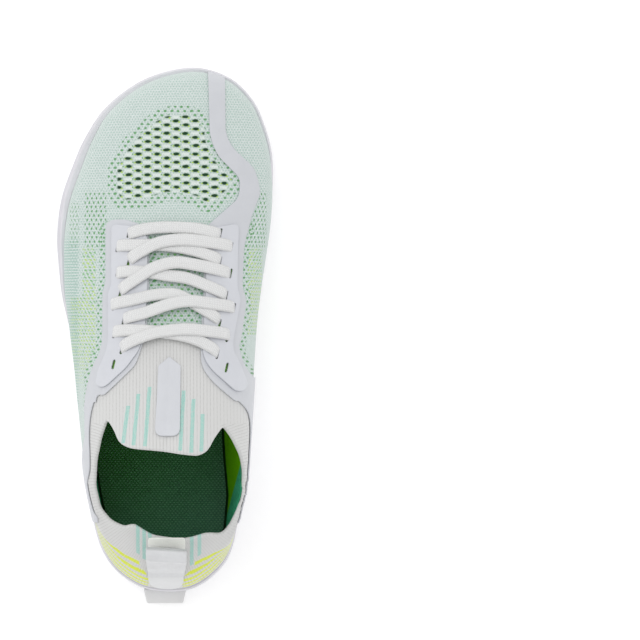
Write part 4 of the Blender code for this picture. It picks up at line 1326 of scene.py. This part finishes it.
def makeLaces():
    for name, flags, run in laceRuns:
        points, normals = laceHeights(flags, run)
        shape = ribbon(points, normals, lace["width"], lace["thickness"], lace["rounding"])
        piece = makePiece("lace" + name[0].upper() + name[1:], shape, finishes["lace"])
        node = next(laceNodes[key] for key in laceNodes if name.startswith(key))
        belongs(piece, "lace", node)


makeLaces()
print("laces threaded")

heel = {"webbingWidth": 0.0208, "webbing": 0.0013, "rise": 0.0120, "gap": 0.0046,
        "seat": 0.0745, "end": 0.0518, "patch": 0.0006, "patchTop": 0.0509,
        "ridges": (-0.0016, 0.0022), "ridge": 0.0008, "ridgeWidth": 0.0009,
        "crest": 0.006, "heart": (0, -0.06, 0.03), "shift": 0.0006, "twist": 0.06,
        "sheetCorner": (-0.011, 0.014), "sheetSize": (0.022, 0.040),
        "tape": ((-0.0085, 0.0046), (0.0102, 0.0046), (0.0102, -0.0021), (-0.0085, -0.0021))}


def fromBehind(x, z):
    return knitTree.ray_cast(Vector((x, -0.3, z)), Vector((0, 1, 0)))[:2]


def heelSeat(z, high):
    spot, normal = fromBehind(0, z)
    return Vector((0, spot.y, spot.z)) + Vector((0, normal.y, normal.z)).normalized() * high


def makeHeelLoop():
    half = heel["webbing"] / 2
    flat = shoe["gap"] + half
    rise, wide = heel["rise"], heel["gap"] + heel["webbing"]
    seat = heelSeat(heel["seat"], 2 * shoe["gap"] + overlay["film"] + half)
    top = seat + Vector((0, 0, rise))
    fall = heel["seat"] - heel["end"]
    back, up = Vector((0, -1, 0)), Vector((0, 0, 1))
    points = [
        heelSeat(heel["end"], flat),
        heelSeat(heel["end"] + 0.22 * fall, flat + 0.10 * wide),
        heelSeat(heel["end"] + 0.50 * fall, flat + 0.50 * wide),
        seat + back * 1.12 * wide - up * 0.05 * rise,
        top + back * wide - up * 0.32 * rise,
        top + back * 0.5 * wide - up * half,
        top - up * 0.32 * rise,
        seat + up * 0.22 * rise,
        seat + up * half,
    ]
    path = smoothPath(points, 12)
    normals = []
    for i in range(len(path)):
        ahead = (path[min(i + 1, len(path) - 1)] - path[max(i - 1, 0)]).normalized()
        normals.append(Vector((0, -ahead.z, ahead.y)))
    crest = max(p.z for p in path)

    def ridges(point):  # two piped ridges along the crest
        swell = 0.0
        for centre in heel["ridges"]:
            off = (point.y - top.y + wide / 2 + centre) / heel["ridgeWidth"]
            swell += heel["ridge"] * math.exp(-off * off)
        return swell if point.z > crest - heel["crest"] else 0.0

    shape = ribbon(path, normals, heel["webbingWidth"], heel["webbing"], 0.16, 28, ridges)
    for vert in shape.verts:  # it hangs a little askew
        share = min(1.0, max(0.0, (vert.co.z - heel["end"]) / fall))
        vert.co.x = vert.co.x * (0.9 + 0.12 * share) + heel["shift"]
        vert.co.y -= vert.co.x * heel["twist"] * share
    belongs(makePiece("heelLoop", shape, finishes["webbing"]), "webbing", "heel_loop")


def makeHeelPieces():
    corners = [Vector((shoe["ballWidth"] * a, heel["patchTop"] * h)) for a, h in patchLine]

    def hang(u, v):
        left, low = heel["sheetCorner"]
        wide, high = heel["sheetSize"]
        spot, normal = fromBehind(left + wide * u, low + high * v)
        return spot + normal * overlay["filmLift"]

    shape = addSheet(hang, 34, 50)
    outline = rounded(corners, overlay["patchRounds"])
    trim(shape, lambda points: insideBy(points[:, [0, 2]], outline))
    faceOut(shape, heel["heart"])
    cover("heelPatch", "heel_patch", "patch", shape, heel["patch"], 0.0003, 2)
    seat = heelSeat(heel["seat"], 0).y
    tape = [Vector((x, seat + y)) for x, y in heel["tape"]]
    shape = drapedSheet(tape, overlay["tapeRound"], overlay["filmLift"])
    cover("heelTape", "heel_tape", "tape", shape, overlay["film"], 0.0002, 2)


makeHeelLoop()
makeHeelPieces()
print("heel dressed")

sole = {"lugInset": 0.007, "lugLength": 0.0115, "lugPitch": 0.016, "groove": 0.005,
        "slant": 0.16, "arch": (0.36, 0.50), "lipWidth": 0.0230, "lipTop": 0.0095,
        "lipBottom": 0.0035, "lipTaper": 0.84, "lipFlatten": 0.9, "lipRaise": 0.0007,
        "lugBevel": 0.0005, "lipBevel": 0.0009}


def solePoint(turn, rim, flare, inset, height):
    ring = ringAt(turn)
    reach = shoe["rimWidth"] * read("Rim", turn) * rim
    reach += shoe["soleFlare"] * read("Flare", turn) * flare
    point = ring["line"] + ring["out"] * (reach + inset)
    base = shoe["lugDepth"] + spring(ring["line"].y)
    point.z = base + (ring["rim"] - base) * height
    return point


def makeOutsole():
    rows = [("under", share) for share in (0.0, 0.3, 0.6, 0.85, 0.96)]
    rows += [("section", row) for row in soleSection]
    rows += [("cup", "rim"), ("cup", "floor"), ("in", 0.9), ("in", 0.5), ("in", 0.0)]

    def place(turn, v):
        kind, what = rows[round(v * (len(rows) - 1))]
        ring = ringAt(turn)
        if kind == "section":
            return solePoint(turn, *what)
        if kind == "under":
            point = ring["spine"].lerp(solePoint(turn, *soleSection[0]), what)
            point.z = shoe["lugDepth"] + spring(point.y)
            return point
        point = ring["line"] + ring["out"] * shoe["gap"]
        if kind == "in":
            point = ring["spine"].lerp(point, what)
        point.z = ring["rim"] - shoe["gap"] if what == "rim" else floorHeight(point.y)
        return point

    shape = addSheet(place, 360, len(rows) - 1)
    mouldPiece("outsoleCup", "sole_rubber", "outsole", "sole", shape, 50)


def turnAt(y, inner):
    low, high = (1.0, 0.5) if inner else (0.0, 0.5)
    for _ in range(30):
        half = (low + high) / 2
        low, high = (half, high) if wallLine(half).y < y else (low, half)
    return (low + high) / 2


def mouldPiece(name, slot, node, finish, shape, sharp=180):  # sharp past this many degrees
    weld(shape, 0.00001)
    bmesh.ops.recalc_face_normals(shape, faces=shape.faces)
    piece = makePiece(name, shape, finishes[finish])
    if sharp < 180:
        piece.data.set_sharp_from_angle(angle=math.radians(sharp))
    belongs(piece, slot, node)


def bevelAll(shape, width, segments):
    bmesh.ops.bevel(shape, geom=shape.edges[:], offset=width, segments=segments, profile=0.5,
                    affect="EDGES", material=-1)


def makeLugs():
    shape = bmesh.new()
    length, pitch, root = sole["lugLength"], sole["lugPitch"], shoe["floorThickness"] / 3
    count = int((shoe["soleLength"] - 2 * sole["lugInset"]) / pitch)
    first = soleBack + shoe["soleLength"] / 2 - (count - 1) * pitch / 2
    for i in range(count):
        y = first + i * pitch
        if sole["arch"][0] < (y - soleBack) / shoe["soleLength"] < sole["arch"][1]:
            continue
        centre = (wallLine(turnAt(y, False)).x + wallLine(turnAt(y, True)).x) / 2
        for side in (-1, 1):
            near = centre + side * sole["groove"] / 2
            ends = [wallLine(turnAt(y + k * length, side > 0)).x for k in (-0.7, 0, 0.5)]
            far = centre + side * (min(abs(x - centre) for x in ends) - sole["lugInset"] / 2)
            wide = abs(far - near)
            if wide < length / 2:
                continue
            high = shoe["lugDepth"] + root
            shear = Matrix.Identity(4)
            shear[1][0] = -sole["slant"] * side
            place = Matrix.Translation((near, y, high / 2 + spring(y)))
            size = Matrix.Diagonal((wide, length, high, 1))
            shift = Matrix.Translation((side * wide / 2, 0, 0))
            bmesh.ops.create_cube(shape, size=1.0, matrix=place @ shear @ shift @ size)
    bevelAll(shape, sole["lugBevel"], 2)
    mouldPiece("outsoleLugs", "sole_rubber", "outsole", "sole", shape, 40)


def makeHeelLip():
    shape = bmesh.new()
    back = soleBack - shoe["heelLipReach"]
    front = soleBack + shoe["rimWidth"] * read("Rim", 0.0) * 0.6
    high = sole["lipTop"] - sole["lipBottom"]
    place = Matrix.Translation((0, (back + front) / 2, (sole["lipTop"] + sole["lipBottom"]) / 2))
    bmesh.ops.create_cube(shape, size=1.0, matrix=place @ Matrix.Diagonal(
        (sole["lipWidth"], front - back, high, 1)))
    for vert in shape.verts:
        if vert.co.y < (back + front) / 2:
            vert.co.x *= sole["lipTaper"]
            vert.co.z = vert.co.z * sole["lipFlatten"] + sole["lipRaise"]
    bevelAll(shape, sole["lipBevel"], 3)
    mouldPiece("heelLip", "sole_rubber", "outsole", "lip", shape)


makeOutsole()
makeLugs()
makeHeelLip()
print("sole moulded")


# The insole's section from below, round its edge, to the top: reach and height
insoleSection = ((0.0, 0.0), (1.0, 0.0), (1.0, 0.0008), (1.0, 0.0024), (0.985, 0.003),
                 (0.9, 0.003), (0.5, 0.003), (0.0, 0.003))


def makeInsole():
    inset = shoe["knitWall"] + shoe["gap"]
    last = len(insoleSection) - 1

    def place(turn, v):
        share, high = insoleSection[round(v * last)]
        ring = ringAt(turn)
        edge = ring["line"] - ring["out"] * inset
        point = ring["spine"].lerp(edge, share)
        point.z = ring["bottom"] + high
        return point

    shape = addSheet(place, 240, last)
    mouldPiece("insoleBoard", "insole_textile", "insole", "insole", shape, 50)


makeInsole()
print("insole laid")

# Floor, light and camera
studio = {"floor": tone(250, 250, 250), "floorGlow": 0.23, "sky": 0.81, "topLight": 7.5,
          "lampSize": 1.6, "lampPlace": (-0.5, 0.7, 1.7), "height": 3.0, "lens": 315.0,
          "aim": (0.083, 0.0083)}


def makeStudio():
    shape = bmesh.new()
    bmesh.ops.create_grid(shape, x_segments=2, y_segments=2, size=3.0)
    make = Recipe("studioFloor", roughness=0.9, Specular_IOR_Level=0.1)
    make.surface.inputs["Base Color"].default_value = studio["floor"]
    make.surface.inputs["Emission Color"].default_value = (1, 1, 1, 1)
    make.surface.inputs["Emission Strength"].default_value = studio["floorGlow"]
    piece = makePiece("studioFloor", shape, make.material)
    piece.data.transform(Matrix.Translation((0, 0, -0.0002)))
    world = bpy.data.worlds.new("softbox")
    world.use_nodes = True
    back = world.node_tree.nodes["Background"]
    back.inputs["Color"].default_value = (1, 1, 1, 1)
    back.inputs["Strength"].default_value = studio["sky"]
    bpy.context.scene.world = world
    lamp = bpy.data.lights.new("overhead", "AREA")
    lamp.shape = "DISK"
    lamp.size = studio["lampSize"]
    lamp.energy = studio["topLight"]
    holder = bpy.data.objects.new("overhead", lamp)
    holder.location = studio["lampPlace"]
    holder.rotation_euler = (-holder.location).to_track_quat("-Z", "Y").to_euler()
    bpy.context.scene.collection.objects.link(holder)


def makeCamera():
    data = bpy.data.cameras.new("camera")
    data.sensor_width = 36
    data.lens = studio["lens"]
    data.clip_end = 20
    camera = bpy.data.objects.new("camera", data)
    eye = Vector((0, 0, studio["height"]))
    back = (eye - Vector((*studio["aim"], 0))).normalized()
    side = Vector((0, 1, 0)).cross(back).normalized()
    up = back.cross(side)
    camera.matrix_world = Matrix.Translation(eye) @ Matrix((side, up, back)).transposed().to_4x4()
    bpy.context.scene.collection.objects.link(camera)
    bpy.context.scene.camera = camera


makeStudio()
makeCamera()
bpy.context.scene.view_settings.view_transform = "Standard"
print("studio lit")
